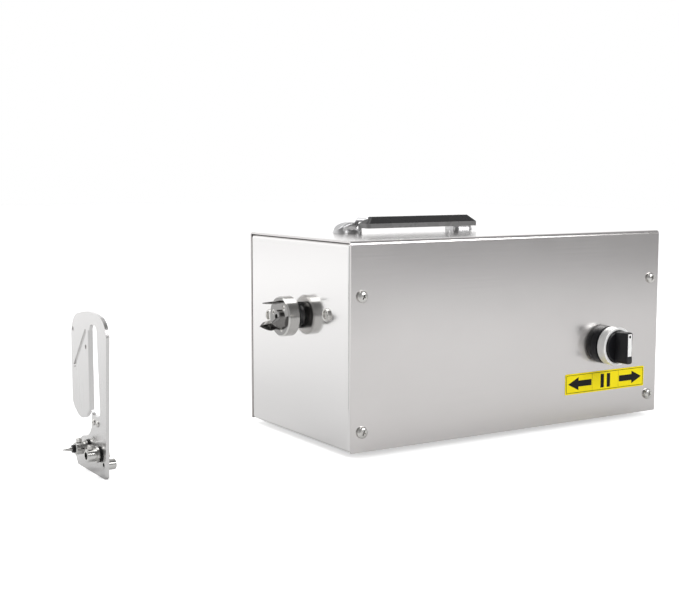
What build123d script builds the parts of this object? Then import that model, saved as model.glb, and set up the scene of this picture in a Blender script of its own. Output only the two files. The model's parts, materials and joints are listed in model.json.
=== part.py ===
"""Electric tornado potato cutter.

A sheet metal case holds a geared motor that turns a pronged chuck. A selector switch on the front runs it
left, stops it or runs it right. A handle folds down on top, and the separate knife, which is held against the
turning potato, stands beside the case.

Frame: X along the case with the chuck towards -X, Y from front to back, Z up. The origin is on the table, at
the bottom centre of the box round the machine and its knife.
"""

from build123d import *
import math
import os

os.makedirs("parts", exist_ok=True)

# ------------------------------------------------------------------ driving dimensions, mm and degrees

# case
case_length = 300.0
case_depth = 150.0
case_height = 150.0
sheet = 1.5
bend_radius = 3.0
fold_radius = 2.5  # round the end plates' outer faces
seam = 0.3  # gap round each end plate, under the cover
flange_depth = 18.0  # how far the end plates' flanges reach inwards
lip_height = 12.0  # the base plate's upturned edges
cover_screw_inset = 9.0  # from each end of the case
cover_screw_low = 14.5  # above the case's bottom edge
cover_screw_high = 111.0
cover_head_radius = 4.3
cover_head_height = 2.8
m4_radius = 2.0
screw_room = 0.3  # a screw in a plain hole
thread_room = 0.05  # a screw in its thread, and a plug or bearing in its seat
dome_share = 0.7  # of a screw head's height, rounded
clinch_nut_radius = 3.2
clinch_body_radius = 4.6
clinch_body_length = 4.0
rivet_radius = 1.6
rivet_head_radius = 3.0
rivet_head_height = 1.0
vent_length = 30.0
vent_width = 4.0
vent_pitch = 10.0
vent_rows = 5

# feet
foot_height = 4.0
foot_radius = 8.0
foot_inset_x = 30.0
foot_inset_y = 26.0
foot_recess_radius = 4.6
foot_web = 2.5  # rubber under the base plate that the screw clamps
foot_chamfer = 1.0
foot_head_radius = 3.8
foot_head_height = 2.4

# spindle and chuck
spindle_height = 91.0  # above the case's bottom edge
spindle_radius = 7.5
spindle_journal = 6.0
running_room = 0.05
shaft_chamfer = 0.8
shaft_hole_room = 1.5
chuck_radius = 15.0
chuck_gap = 5.5  # from the left panel to the chuck's back face
chuck_thickness = 10.0
chuck_chamfer = 1.0
chuck_neck_radius = 10.0
chuck_neck_length = 3.0
hub_radius = 5.0
hub_length = 2.5
hub_root = 5.5
socket_radius = 2.0
socket_depth = 7.0
prong_count = 3
prong_start = 75.0  # the first prong's place, from the back of the machine upwards
prong_pitch_radius = 10.6
prong_width = 9.5
prong_neck_width = 6.5
prong_thickness = 1.8
prong_reach = 12.5
prong_shoulder = 4.0  # where the leaf is widest, out from the chuck's face
prong_root = 4.0
prong_cheek = 0.36  # of a leaf's width, half way up
slot_room = 0.05
chuck_screw_radius = 1.25
chuck_screw_head = 2.1
chuck_screw_pitch = 9.6
chuck_screw_depth = 3.0
chuck_screw_sink = 1.6  # from the chuck's face to under the screws' heads
chuck_screw_head_height = 1.4
chuck_screw_driver = 1.0
set_screw_radius = 2.0
set_screw_length = 5.0

# gear train
idler_angle = -30.0  # from the spindle to the idler shaft, in the YZ plane
motor_angle = 188.0  # from the idler shaft to the motor shaft
pressure_angle = 20.0
addendum = 0.8  # stub teeth, in modules
dedendum = 1.25
backlash = 0.16
fast_module = 1.0
motor_teeth = 14
idler_teeth = 56
slow_module = 1.25
pinion_teeth = 16
output_teeth = 48
fast_face = 8.0
slow_face = 12.0
pinion_overhang = 1.0
gear_web = 5.0
gear_rim = 3.5
gear_hub_radius = 12.0
gear_gap = 2.0  # end play between gears, and to the housing
gear_room = 1.6  # round the tooth tips
idler_radius = 5.0
bush_wall = 3.0
bush_length = 8.0

# gearbox housing
housing_wall = 4.0
flange_thickness = 6.0
gear_cover_thickness = 7.0
ear_radius = 9.0
bolt_spacing = 86.0
bolt_tilt = 6.0
bolt_radius = 2.5
bolt_head_radius = 4.8
bolt_head_height = 1.8
bolt_grip = 9.0
bearing_radius = 15.0
bearing_length = 9.0
bearing_lip = 1.5
bearing_edge = 0.6
boss_wall = 4.0
cover_boss_radius = 5.0
cover_boss_angles = (165.0, 110.0, 68.0)
idler_boss_angle = -70.0
gear_cover_screw_depth = 9.0

# motor
motor_radius = 40.0
can_wall = 3.0
can_length = 70.0
bell_thickness = 12.0
bell_web = 5.0
bell_edge = 3.0
motor_bearing_radius = 14.0
motor_bearing_length = 8.0
rotor_radius = 25.0
rotor_length = 50.0
rotor_shaft_radius = 6.0
rotor_seat_radius = 8.0
air_gap = 0.5
winding_length = 7.0
winding_inner = 26.5
winding_outer = 31.0
winding_round = 1.8
tie_bolt_circle = 33.8
tie_bolt_head = 3.5
fan_radius = 30.0
fan_thickness = 10.0
fan_disc = 1.5
fan_blades = 7
fan_blade_thickness = 1.2
fan_hub_radius = 10.0
fan_gap = 3.0
bracket_sheet = 2.0
bracket_half_width = 34.0
bracket_foot = 15.0

# selector switch and label
selector_from_right = 58.0
selector_height = 59.5
stem_radius = 11.0
stem_length = 14.0
collar_radius = 15.2
collar_length = 7.5
collar_edge = 0.8
collar_neck_radius = 14.0
collar_neck_length = 2.4
ring_radius = 15.5
ring_wall = 2.5
ring_length = 7.5
ring_edge = 0.7
knob_room = 0.4
knob_disc_end = 16.0  # distances out from the front panel
lever_end = 27.5
lever_width = 5.6
lever_length = 25.0
knob_stem_radius = 5.0
knob_edge = 0.6
marker_width = 4.0
marker_top = 11.4
marker_bottom = -6.4
marker_depth = 0.6
lock_nut_across = 27.0
lock_nut_length = 4.5
adapter_size = 29.0
adapter_length = 14.0
contact_width = 10.0
contact_height = 38.0
contact_depth = 24.0
label_length = 86.0
label_width = 16.5
label_thickness = 0.3
label_corner = 0.8
label_shift = 1.2  # of its middle, to the right of the selector's axis
label_drop = 29.3  # from the selector's axis to the label's middle

# handle
handle_from_left = 114.9
handle_from_front = 99.9
grip_length = 107.0
grip_width = 15.0
grip_side = 3.6
grip_bevel = 5.2
grip_end_bevel = 6.5
grip_corner = 3.5  # its outline's corners, seen from above
grip_edge = 0.5
grip_gap = 4.2  # under the folded grip
grip_reach = 20.0  # from the hinge to the grip's middle
hinge_lift = 4.1
rod_radius = 1.8
rod_lift = 10.4  # the rod's middle in the grip, above the case
rod_rise = 4.0  # how far forward an arm has come when it is as high as the grip's rod
rod_bend = 2.4
arm_spacing = 96.0
arm_cheek = 3.0  # from an arm's middle to its bracket's inner end
pin_bite = 6.8  # from an arm's middle to the end of its pivot
bracket_width = 15.0
bracket_plate = 2.0
bracket_taper = 20.0
bracket_rim = 0.8  # of the plate round the dome's ends
dome_length = 21.4
dome_width = 11.0
dome_height = 6.2
dome_tip = 2.4
dome_crown = 8.0  # its height half way along
dome_tip_round = 5.0
dome_edge = 1.6
arm_slot = 4.7
arm_slot_edge = 1.0  # the bracket's cheek beside the arm's slot
handle_screw_pitch = 6.0
handle_screw_tip = 6.1  # from the dome's tip to the middle between its screws
handle_screw_radius = 1.5
handle_screw_head = 2.8
handle_screw_bite = 2.8

# power inlet
inlet_width = 27.0
inlet_height = 20.0
inlet_corner = 3.0
inlet_wall = 1.8
inlet_flange_length = 50.0
inlet_flange_height = 24.0
inlet_flange = 2.0
inlet_from_front = 95.0
inlet_centre_height = 38.0
inlet_depth = 22.0
inlet_cavity = 17.0
inlet_pin_length = 12.0
inlet_pin_width = 2.0
inlet_pin_height = 4.0
inlet_pin_spacing = 7.0
inlet_pin_places = ((-1, -1.5), (0, 1.5), (1, -1.5))  # steps of the spacing, and rises
inlet_tab_length = 8.0
inlet_screw_spacing = 40.0
inlet_screw_radius = 1.5
inlet_screw_head = 2.8
inlet_screw_head_height = 1.8
inlet_screw_tail = 4.0  # behind the end plate

# knife: points are measured back from knife_front and up from the table
knife_distance = 167.0  # from the case's left end to the knife's near face
knife_front = 36.0  # from the case's front
knife_sheet = 2.4
knife_back = 63.0
knife_height = 109.2
knife_crown = 24.0  # where the top is highest
front_foot = 1.5  # the front edge at its foot
foot_corner = 2.0
foot_end = (55.0, 0.0)
heel = (59.0, 5.5)
heel_bend = (51.6, 17.6)
throat_start = (40.8, 22.9)
throat_bend = (29.8, 27.0)
throat_corner = (26.0, 32.0)
throat_mouth = (25.0, 42.2)
wing_tip = (29.5, 42.2)
wing_start = (34.8, 37.7)
wing_low = (44.0, 34.5)
wing_end = (56.0, 38.0)
wing_round = (61.2, 41.6)
wing_back = 46.0
back_shoulder = 90.0
shoulder_round = (58.6, 100.8)
crown_end = (46.2, 106.6)
crown_start = (8.0, 107.5)
front_round = (-0.8, 102.8)
front_top = (-4.0, 95.0)
slot_front = 13.5
slot_flare = 4.0  # how much further forward its front edge is at the bottom
slot_back = 26.5
slot_low = 40.0
slot_high = 101.0
slot_corner = 4.5
edge_land = 0.3  # thickness left at the cutting edge
edge_bevel = 3.0
kerf_width = 3.4
kerf_top = (34.6, 95.0)
kerf_end = (57.0, 69.5)
knife_holes = ((59.0, 94.3), (34.2, 84.6))
knife_hole_radius = 1.5
sleeve_centre = (13.1, 15.1)
pin_sleeve_centre = (35.2, 15.7)
sleeve_length = 6.2
sleeve_radius = 4.3
sleeve_bore = 2.5
sleeve_edge = 0.5
sleeve_flange_radius = 5.6
sleeve_flange = 1.6
sleeve_shank_radius = 3.6
sleeve_nut_across = 8.6
sleeve_nut_length = 3.5
washer_radius = 5.2
washer_thickness = 1.3
seal_radius = 2.7
seal_length = 1.6
pin_out = 8.5
pin_nose_radius = 1.5
pin_point = 5.0
pin_tip_radius = 0.3
cap_screw_radius = 1.3
cap_head_radius = 1.9
cap_head_height = 2.6
small_screw_points = ((14.5, 35.3), (22.0, 35.3))
small_head_radius = 2.1
small_head_height = 1.1
small_shank_radius = 1.1
standoff_centre = (5.0, 9.5)
standoff_radius = 3.6
standoff_length = 5.5
standoff_shank = 2.2
standoff_bore = 1.5

# ------------------------------------------------------------------ places worked out from them

knife_reach = washer_thickness + sleeve_flange + sleeve_length + pin_out
total_length = knife_reach + knife_distance + case_length + inlet_flange + inlet_screw_head_height
total_depth = lever_end + case_depth + cover_head_height
case_left = knife_reach + knife_distance - total_length / 2
case_right = case_left + case_length
case_front = lever_end - total_depth / 2
case_back = case_front + case_depth
case_bottom = foot_height
case_top = case_bottom + case_height
inner_front = case_front + sheet + seam
inner_back = case_back - sheet - seam
inner_top = case_top - sheet - seam
base_top = case_bottom + 2 * sheet

screw_xs = (case_left + cover_screw_inset, case_right - cover_screw_inset)
screw_zs = (case_bottom + cover_screw_low, case_bottom + cover_screw_high)
cover_screw_points = [(x, z) for x in screw_xs for z in screw_zs]
middle_y = case_front + case_depth / 2
rivet_points = [(x, middle_y + hand * case_depth / 3) for x in screw_xs for hand in (-1, 1)]

selector_x = case_right - selector_from_right
selector_z = case_bottom + selector_height

handle_x = case_left + handle_from_left
handle_y = case_front + handle_from_front
hinge_z = case_top + hinge_lift
rod_z = case_top + rod_lift
bracket_tip = arm_spacing / 2 - arm_cheek + dome_length
handle_screw_points = [
    (handle_x + hand * (bracket_tip - handle_screw_tip + shift * handle_screw_pitch / 2), handle_y)
    for hand in (-1, 1)
    for shift in (-1, 1)
]

inlet_centre = (case_front + inlet_from_front, case_bottom + inlet_centre_height)
inlet_screw_points = [(inlet_centre[0] + hand * inlet_screw_spacing / 2, inlet_centre[1]) for hand in (-1, 1)]


def polar(centre, radius, degrees):
    """A point at a radius and an angle round a centre."""
    angle = math.radians(degrees)
    return (centre[0] + radius * math.cos(angle), centre[1] + radius * math.sin(angle))


slow_distance = slow_module * (pinion_teeth + output_teeth) / 2
fast_distance = fast_module * (motor_teeth + idler_teeth) / 2
spindle_centre = (middle_y, case_bottom + spindle_height)
idler_centre = polar(spindle_centre, slow_distance, idler_angle)
motor_centre = polar(idler_centre, fast_distance, motor_angle)
bolt_points = [polar(spindle_centre, bolt_spacing / 2, turn - bolt_tilt) for turn in (180, 0)]

# stations along X, from the left panel's inner face to the fan
flange_x = case_left + sheet
boss_end = flange_x + bearing_lip + bearing_length
slow_x = boss_end + gear_gap
fast_x = slow_x + slow_face + pinion_overhang + gear_gap
gear_cover_x = fast_x + fast_face + pinion_overhang + gear_gap
motor_x = gear_cover_x + gear_cover_thickness
can_x = motor_x + bell_thickness
can_end = can_x + can_length
core_x = can_x + (can_length - rotor_length) / 2
core_end = core_x + rotor_length
motor_end = can_end + bell_thickness
fan_x = motor_end + fan_gap

# ------------------------------------------------------------------ planes and simple solids


def side(x):
    """The plane that faces +X at x, with its own x along Y and its own y along Z."""
    return Plane.YZ.offset(x)


def front(y):
    """The plane that faces -Y at y, with its own x along X and its own y along Z."""
    return Plane.XZ.offset(-y)


def level(z):
    """The plane that faces up at z."""
    return Plane.XY.offset(z)


def disc(plane, centres, radius, length, bore=0.0, mode=Mode.ADD):
    """Round slabs that grow out of a plane, one at each centre, or rings where they have a bore."""
    with BuildSketch(plane) as outline:
        with Locations(*centres):
            Circle(radius)
            if bore:
                Circle(bore, mode=Mode.SUBTRACT)
    extrude(outline.sketch, amount=length, mode=mode)


def block(plane, centres, width, height, length, corner=0.0, mode=Mode.ADD):
    """Rectangular slabs that grow out of a plane, with rounded corners where asked."""
    with BuildSketch(plane) as outline:
        with Locations(*centres):
            if corner:
                RectangleRounded(width, height, corner)
            else:
                Rectangle(width, height)
    extrude(outline.sketch, amount=length, mode=mode)


def hexagon(plane, centres, across_flats, length, bore=0.0):
    """Hexagonal nuts that grow out of a plane."""
    with BuildSketch(plane) as outline:
        with Locations(*centres):
            RegularPolygon(across_flats / 2, 6, major_radius=False)
            if bore:
                Circle(bore, mode=Mode.SUBTRACT)
    extrude(outline.sketch, amount=length)


def hull_sketch(plane, circles):
    """The face inside a string pulled round several circles, given as (centre, radius)."""
    with BuildSketch(plane) as outline:
        with BuildLine():
            for centre, radius in circles:
                CenterArc(centre, radius, 0, 360)
        make_hull()
    return outline.sketch


def rims(plane, height):
    """The circular edges of the piece in hand that lie at a height over a plane."""
    circles = edges().filter_by(GeomType.CIRCLE)
    return [edge for edge in circles if abs(plane.to_local_coords(edge @ 0).Z - height) < 0.001]


def pan_screws(plane, centres, head_radius, head_height, shank_radius, shank_length):
    """Pan head screws: heads out of the plane, shanks the other way; negative lengths turn them round."""
    disc(plane, centres, head_radius, head_height)
    fillet(rims(plane, head_height), abs(head_height) * dome_share)
    disc(plane, centres, shank_radius, -shank_length)


def involute_angle(radius, base_radius):
    """How far an involute has turned at a radius."""
    pressure = math.acos(min(1.0, base_radius / radius))
    return math.tan(pressure) - pressure


def gear_sketch(plane, centre, module, teeth, first_tooth):
    """A spur gear's face, with a tooth centred on the angle first_tooth."""
    pitch_radius = module * teeth / 2
    base_radius = pitch_radius * math.cos(math.radians(pressure_angle))
    tip_radius = pitch_radius + addendum * module
    root_radius = pitch_radius - dedendum * module
    flank_start = max(base_radius, root_radius)
    half_tooth = math.pi / 2 / teeth - backlash / 2 / pitch_radius + involute_angle(pitch_radius, base_radius)

    def flank(radius, tooth_angle, hand):
        """A point on a tooth's flank, on its left (+1) or right (-1) side."""
        turn = math.degrees(half_tooth - involute_angle(radius, base_radius))
        return polar(centre, radius, tooth_angle + hand * turn)

    middle_radius = (flank_start + tip_radius) / 2
    root_turn = math.degrees(half_tooth - involute_angle(flank_start, base_radius))
    with BuildSketch(plane) as outline:
        with BuildLine():
            for tooth in range(teeth):
                angle = first_tooth + tooth * 360 / teeth
                next_angle = angle + 360 / teeth
                right = [flank(radius, angle, -1) for radius in (flank_start, middle_radius, tip_radius)]
                left = [flank(radius, angle, 1) for radius in (tip_radius, middle_radius, flank_start)]
                left_root = polar(centre, root_radius, angle + root_turn)
                next_root = polar(centre, root_radius, next_angle - root_turn)
                if root_radius < flank_start:
                    Line(polar(centre, root_radius, angle - root_turn), right[0])
                ThreePointArc(*right)
                ThreePointArc(right[-1], polar(centre, tip_radius, angle), left[0])
                ThreePointArc(*left)
                if root_radius < flank_start:
                    Line(left[-1], left_root)
                ThreePointArc(left_root, polar(centre, root_radius, (angle + next_angle) / 2), next_root)
        make_face()
    return outline.sketch


# ------------------------------------------------------------------ case

with BuildPart() as cover:
    block(side(case_left), [(middle_y, case_bottom + case_height / 2)], case_depth, case_height, case_length)
    fillet(edges().filter_by(Axis.X).group_by(Axis.Z)[-1], bend_radius)
    with BuildSketch(side(case_left)) as cover_inside:
        with Locations((middle_y, case_bottom)):
            Rectangle(case_depth - 2 * sheet, case_height - sheet, align=(Align.CENTER, Align.MIN))
        fillet(cover_inside.vertices().group_by(Axis.Y)[-1], bend_radius - sheet)
    extrude(amount=case_length, mode=Mode.SUBTRACT)
    for outside in (case_front, case_back - sheet):
        disc(front(outside), cover_screw_points, m4_radius + screw_room, -sheet, mode=Mode.SUBTRACT)
    disc(front(case_front), [(selector_x, selector_z)], stem_radius + screw_room, -sheet, mode=Mode.SUBTRACT)
    disc(level(case_top), handle_screw_points, handle_screw_radius + screw_room, -sheet, mode=Mode.SUBTRACT)
cover.part.label = "cover"
export_step(cover.part, "parts/cover.step")


def end_tray(tray_x, panel_x):
    """An end plate with flanges on its four edges; tray_x is the flanges' low X end, panel_x the panel's."""
    depth = inner_back - inner_front
    height = inner_top - case_bottom
    middle = (middle_y, (inner_top + case_bottom) / 2)
    block(side(tray_x), [middle], depth, height, flange_depth, corner=bend_radius)
    outer_face = faces().sort_by(Axis.X)[0 if panel_x == tray_x else -1]
    fillet(outer_face.edges(), fold_radius)
    pocket = side(tray_x + sheet if panel_x == tray_x else tray_x)
    block(pocket, [middle], depth - 2 * sheet, height - 2 * sheet, flange_depth - sheet, mode=Mode.SUBTRACT)
    for outside in (inner_front, inner_back - sheet):
        disc(front(outside), cover_screw_points, clinch_nut_radius + thread_room, -sheet, mode=Mode.SUBTRACT)
    disc(level(case_bottom), rivet_points, rivet_radius + thread_room, sheet, mode=Mode.SUBTRACT)


with BuildPart() as end_plate_left:
    end_tray(case_left, case_left)
    disc(side(case_left), [spindle_centre], spindle_radius + shaft_hole_room, sheet, mode=Mode.SUBTRACT)
    disc(side(case_left), bolt_points, bolt_radius + screw_room, sheet, mode=Mode.SUBTRACT)
end_plate_left.part.label = "end_plate_left"
export_step(end_plate_left.part, "parts/end_plate_left.step")

with BuildPart() as end_plate_right:
    end_tray(case_right - flange_depth, case_right - sheet)
    block(
        side(case_right), [inlet_centre], inlet_width + 2 * screw_room, inlet_height + 2 * screw_room, -sheet,
        corner=inlet_corner, mode=Mode.SUBTRACT,
    )
    disc(side(case_right), inlet_screw_points, inlet_screw_radius + thread_room, -sheet, mode=Mode.SUBTRACT)
end_plate_right.part.label = "end_plate_right"
export_step(end_plate_right.part, "parts/end_plate_right.step")

foot_points = [
    (x, y)
    for x in (case_left + foot_inset_x, case_right - foot_inset_x)
    for y in (case_front + foot_inset_y, case_back - foot_inset_y)
]
middle_x = (case_left + case_right) / 2
bracket_x = (can_x + can_end) / 2
bracket_rivets = [
    (bracket_x + bracket_sheet + bracket_foot / 2, motor_centre[0] + hand * bracket_half_width / 2)
    for hand in (-1, 1)
]
base_rivet_points = rivet_points + bracket_rivets

with BuildPart() as base_plate:
    wide_length = case_length - 2 * (flange_depth + seam)
    wide_depth = case_depth - 2 * (sheet + seam)
    long_length = case_length - 2 * (sheet + seam)
    floor_plane = level(case_bottom + sheet)
    block(floor_plane, [(middle_x, middle_y)], wide_length, wide_depth, sheet)
    block(floor_plane, [(middle_x, middle_y)], long_length, wide_depth - 2 * (sheet + seam), sheet)
    for lip_y in (middle_y - wide_depth / 2, middle_y + wide_depth / 2 - sheet):
        lip_middle = (middle_x, case_bottom + sheet + lip_height / 2)
        block(front(lip_y), [lip_middle], wide_length, lip_height, -sheet)
    disc(level(case_bottom + sheet), foot_points, clinch_nut_radius + thread_room, sheet, mode=Mode.SUBTRACT)
    disc(level(case_bottom + sheet), base_rivet_points, rivet_radius + thread_room, sheet, mode=Mode.SUBTRACT)
    with BuildSketch(level(case_bottom + sheet)) as vents:
        with Locations((bracket_x - vent_length, middle_y)):
            with GridLocations(1, vent_pitch, 1, vent_rows):
                SlotOverall(vent_length, vent_width)
    extrude(amount=sheet, mode=Mode.SUBTRACT)
base_plate.part.label = "base_plate"
export_step(base_plate.part, "parts/base_plate.step")


def rivets(centres, low, high):
    """Blind rivets: a head below low, a shank, and an upset end above high."""
    disc(level(low), centres, rivet_head_radius, -rivet_head_height)
    disc(level(low), centres, rivet_radius, high - low)
    disc(level(high), centres, rivet_head_radius, rivet_head_height)


with BuildPart() as base_rivets:
    rivets(rivet_points, case_bottom, base_top)
    rivets(bracket_rivets, case_bottom + sheet, base_top + bracket_sheet)
base_rivets.part.label = "base_rivets"
export_step(base_rivets.part, "parts/base_rivets.step")

cover_shank = sheet + seam + sheet + clinch_body_length
with BuildPart() as cover_screws:
    for panel_y, hand in ((case_front, 1), (case_back, -1)):
        head_height = hand * cover_head_height
        shank = hand * cover_shank
        pan_screws(front(panel_y), cover_screw_points, cover_head_radius, head_height, m4_radius, shank)
cover_screws.part.label = "cover_screws"
export_step(cover_screws.part, "parts/cover_screws.step")


def clinch_nut(plane, centres, inward):
    """Clinch nuts pressed into a sheet's outer face at plane, their bodies on the sheet's inner side."""
    bore = m4_radius + thread_room
    disc(plane, centres, clinch_nut_radius, inward * sheet, bore=bore)
    disc(plane.offset(inward * sheet), centres, clinch_body_radius, inward * clinch_body_length, bore=bore)


with BuildPart() as clinch_nuts:
    clinch_nut(front(inner_front), cover_screw_points, -1)
    clinch_nut(front(inner_back), cover_screw_points, 1)
    clinch_nut(level(case_bottom + sheet), foot_points, 1)
clinch_nuts.part.label = "clinch_nuts"
export_step(clinch_nuts.part, "parts/clinch_nuts.step")

foot_top = case_bottom + sheet
with BuildPart() as feet:
    disc(level(0), foot_points, foot_radius, foot_top)
    chamfer(rims(level(0), 0), foot_chamfer)
    disc(level(0), foot_points, foot_recess_radius, foot_top - foot_web, mode=Mode.SUBTRACT)
    disc(level(0), foot_points, m4_radius + screw_room, foot_top, mode=Mode.SUBTRACT)
feet.part.label = "feet"
export_step(feet.part, "parts/feet.step")

with BuildPart() as foot_screws:
    foot_shank = foot_web + sheet + clinch_body_length
    under_web = level(foot_top - foot_web)
    pan_screws(under_web, foot_points, foot_head_radius, -foot_head_height, m4_radius, -foot_shank)
foot_screws.part.label = "foot_screws"
export_step(foot_screws.part, "parts/foot_screws.step")

# ------------------------------------------------------------------ chuck and spindle

chuck_back = case_left - chuck_gap
chuck_face = chuck_back - chuck_thickness
hub_back = chuck_face + hub_root
prong_turns = [prong_start + step * 360 / prong_count for step in range(prong_count)]
between_prongs = [turn + 180 / prong_count for turn in prong_turns]
chuck_screw_points = [polar(spindle_centre, chuck_screw_pitch, turn) for turn in between_prongs]


def prong_plane(turn):
    """The plane through a prong's middle: its x runs round the chuck and its y out of the chuck's face."""
    y, z = polar(spindle_centre, prong_pitch_radius, turn)
    angle = math.radians(turn)
    outwards = (0, math.cos(angle), math.sin(angle))
    around = (0, math.sin(angle), -math.cos(angle))
    return Plane(origin=(chuck_face, y, z), x_dir=around, z_dir=outwards)


with BuildPart() as chuck_body:
    disc(side(chuck_back), [spindle_centre], chuck_radius, -chuck_thickness)
    chamfer(rims(side(chuck_back), 0) + rims(side(chuck_back), -chuck_thickness), chuck_chamfer)
    disc(side(chuck_back), [spindle_centre], chuck_neck_radius, chuck_neck_length)
    seat_radius = spindle_radius + thread_room
    seat_start = side(hub_back)
    seat_length = chuck_back + chuck_neck_length - hub_back
    disc(seat_start, [spindle_centre], seat_radius, seat_length, mode=Mode.SUBTRACT)
    disc(seat_start, [spindle_centre], hub_radius + thread_room, -hub_root, mode=Mode.SUBTRACT)
    for turn in prong_turns:
        slot_plane = prong_plane(turn).offset(-prong_thickness / 2 - slot_room)
        slot_middle = [(0, -prong_root / 2)]
        slot_length = prong_neck_width + 2 * slot_room
        slot_depth = prong_thickness + 2 * slot_room
        block(slot_plane, slot_middle, slot_length, prong_root, slot_depth, mode=Mode.SUBTRACT)
    screw_hole = chuck_screw_radius + thread_room
    hole_depth = chuck_screw_sink + chuck_screw_depth
    disc(side(chuck_face), chuck_screw_points, screw_hole, hole_depth, mode=Mode.SUBTRACT)
    head_hole = chuck_screw_head + thread_room
    disc(side(chuck_face), chuck_screw_points, head_hole, chuck_screw_sink, mode=Mode.SUBTRACT)
    grub_plane = Plane(origin=(chuck_back - chuck_thickness / 4, *spindle_centre), z_dir=(0, 1, 0))
    disc(grub_plane, [(0, 0)], set_screw_radius + thread_room, chuck_radius, mode=Mode.SUBTRACT)
chuck_body.part.label = "chuck_body"
export_step(chuck_body.part, "parts/chuck_body.step")

with BuildPart() as chuck_set_screw:
    disc(grub_plane.offset(spindle_radius + 2 * thread_room), [(0, 0)], set_screw_radius, set_screw_length)
chuck_set_screw.part.label = "chuck_set_screw"
export_step(chuck_set_screw.part, "parts/chuck_set_screw.step")

with BuildPart() as chuck_screws:
    sunk = side(chuck_face + chuck_screw_sink)
    disc(sunk, chuck_screw_points, chuck_screw_head, -chuck_screw_head_height)
    disc(sunk, chuck_screw_points, chuck_screw_radius, chuck_screw_depth)
    driver = side(chuck_face + chuck_screw_sink - chuck_screw_head_height)
    disc(driver, chuck_screw_points, chuck_screw_driver, chuck_screw_head_height / 2, mode=Mode.SUBTRACT)
chuck_screws.part.label = "chuck_screws"
export_step(chuck_screws.part, "parts/chuck_screws.step")

with BuildPart() as skewer_hub:
    disc(side(hub_back), [spindle_centre], hub_radius, -hub_root - hub_length)
    chamfer(rims(side(hub_back), -hub_root - hub_length), hub_length / 4)
    disc(side(chuck_face - hub_length), [spindle_centre], socket_radius, socket_depth, mode=Mode.SUBTRACT)
skewer_hub.part.label = "skewer_hub"
export_step(skewer_hub.part, "parts/skewer_hub.step")

with BuildPart() as chuck_prongs:
    for turn in prong_turns:
        with BuildSketch(prong_plane(turn).offset(-prong_thickness / 2)) as leaf:
            with BuildLine():
                Line((-prong_neck_width / 2, -prong_root), (prong_neck_width / 2, -prong_root))
                for hand in (-1, 1):
                    neck = hand * prong_neck_width / 2
                    shoulder = (hand * prong_width / 2, prong_shoulder)
                    cheek = (hand * prong_width * prong_cheek, (prong_shoulder + prong_reach) / 2)
                    Polyline((neck, -prong_root), (neck, 0), shoulder)
                    ThreePointArc(shoulder, cheek, (0, prong_reach))
            make_face()
        extrude(amount=prong_thickness)
chuck_prongs.part.label = "chuck_prongs"
export_step(chuck_prongs.part, "parts/chuck_prongs.step")

with BuildPart() as spindle_shaft:
    journal_start = slow_x + slow_face + pinion_overhang
    shaft_start = hub_back + thread_room
    disc(side(shaft_start), [spindle_centre], spindle_radius, journal_start - shaft_start)
    disc(side(journal_start), [spindle_centre], spindle_journal, motor_x - journal_start - gear_gap / 2)
    chamfer(rims(side(motor_x), -gear_gap / 2), shaft_chamfer)
spindle_shaft.part.label = "spindle_shaft"
export_step(spindle_shaft.part, "parts/spindle_shaft.step")

# ------------------------------------------------------------------ gear train

to_idler = idler_angle
idler_to_spindle = idler_angle + 180
idler_to_motor = motor_angle
motor_to_idler = motor_angle - 180


def webbed_gear(x, width, centre, module, teeth, first_tooth, bore):
    """A spur gear with a rim, a thinner web, and a hub round its bore."""
    extrude(gear_sketch(side(x), centre, module, teeth, first_tooth), amount=width)
    rim_radius = module * (teeth / 2 - dedendum) - gear_rim
    pocket_depth = (width - gear_web) / 2
    for face, inward in ((x, 1), (x + width, -1)):
        pocket = inward * pocket_depth
        disc(side(face), [centre], rim_radius, pocket, bore=gear_hub_radius, mode=Mode.SUBTRACT)
    disc(side(x), [centre], bore, width, mode=Mode.SUBTRACT)


with BuildPart() as output_gear:
    output_phase = to_idler + 180 / output_teeth
    bore = spindle_radius + thread_room
    webbed_gear(slow_x, slow_face, spindle_centre, slow_module, output_teeth, output_phase, bore)
output_gear.part.label = "output_gear"
export_step(output_gear.part, "parts/output_gear.step")

with BuildPart() as idler_pinion:
    bush_start = flange_x + bearing_lip
    pinion_start = slow_x - pinion_overhang
    pinion_end = slow_x + slow_face + pinion_overhang
    disc(side(bush_start), [idler_centre], idler_radius, gear_cover_x + bush_length - gear_gap - bush_start)
    pinion_face = gear_sketch(side(pinion_start), idler_centre, slow_module, pinion_teeth, idler_to_spindle)
    extrude(pinion_face, amount=pinion_end - pinion_start)
idler_pinion.part.label = "idler_pinion"
export_step(idler_pinion.part, "parts/idler_pinion.step")

with BuildPart() as idler_gear:
    idler_phase = idler_to_motor + 180 / idler_teeth
    bore = idler_radius + thread_room
    webbed_gear(fast_x, fast_face, idler_centre, fast_module, idler_teeth, idler_phase, bore)
idler_gear.part.label = "idler_gear"
export_step(idler_gear.part, "parts/idler_gear.step")

# ------------------------------------------------------------------ gearbox housing

output_room = slow_module * (output_teeth / 2 + addendum) + gear_room
idler_room = fast_module * (idler_teeth / 2 + addendum) + gear_room
pinion_room = fast_module * (motor_teeth / 2 + addendum) + gear_room
cavity_circles = [(spindle_centre, output_room), (idler_centre, idler_room), (motor_centre, pinion_room)]
wall_circles = [(centre, radius + housing_wall) for centre, radius in cavity_circles]
cover_bosses = [polar(spindle_centre, output_room + housing_wall, angle) for angle in cover_boss_angles]
cover_bosses.append(polar(idler_centre, idler_room + housing_wall, idler_boss_angle))
flange_circles = wall_circles + [(point, ear_radius) for point in bolt_points]
bush_radius = idler_radius + running_room + bush_wall
spindle_bush_radius = spindle_journal + running_room + bush_wall

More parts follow.
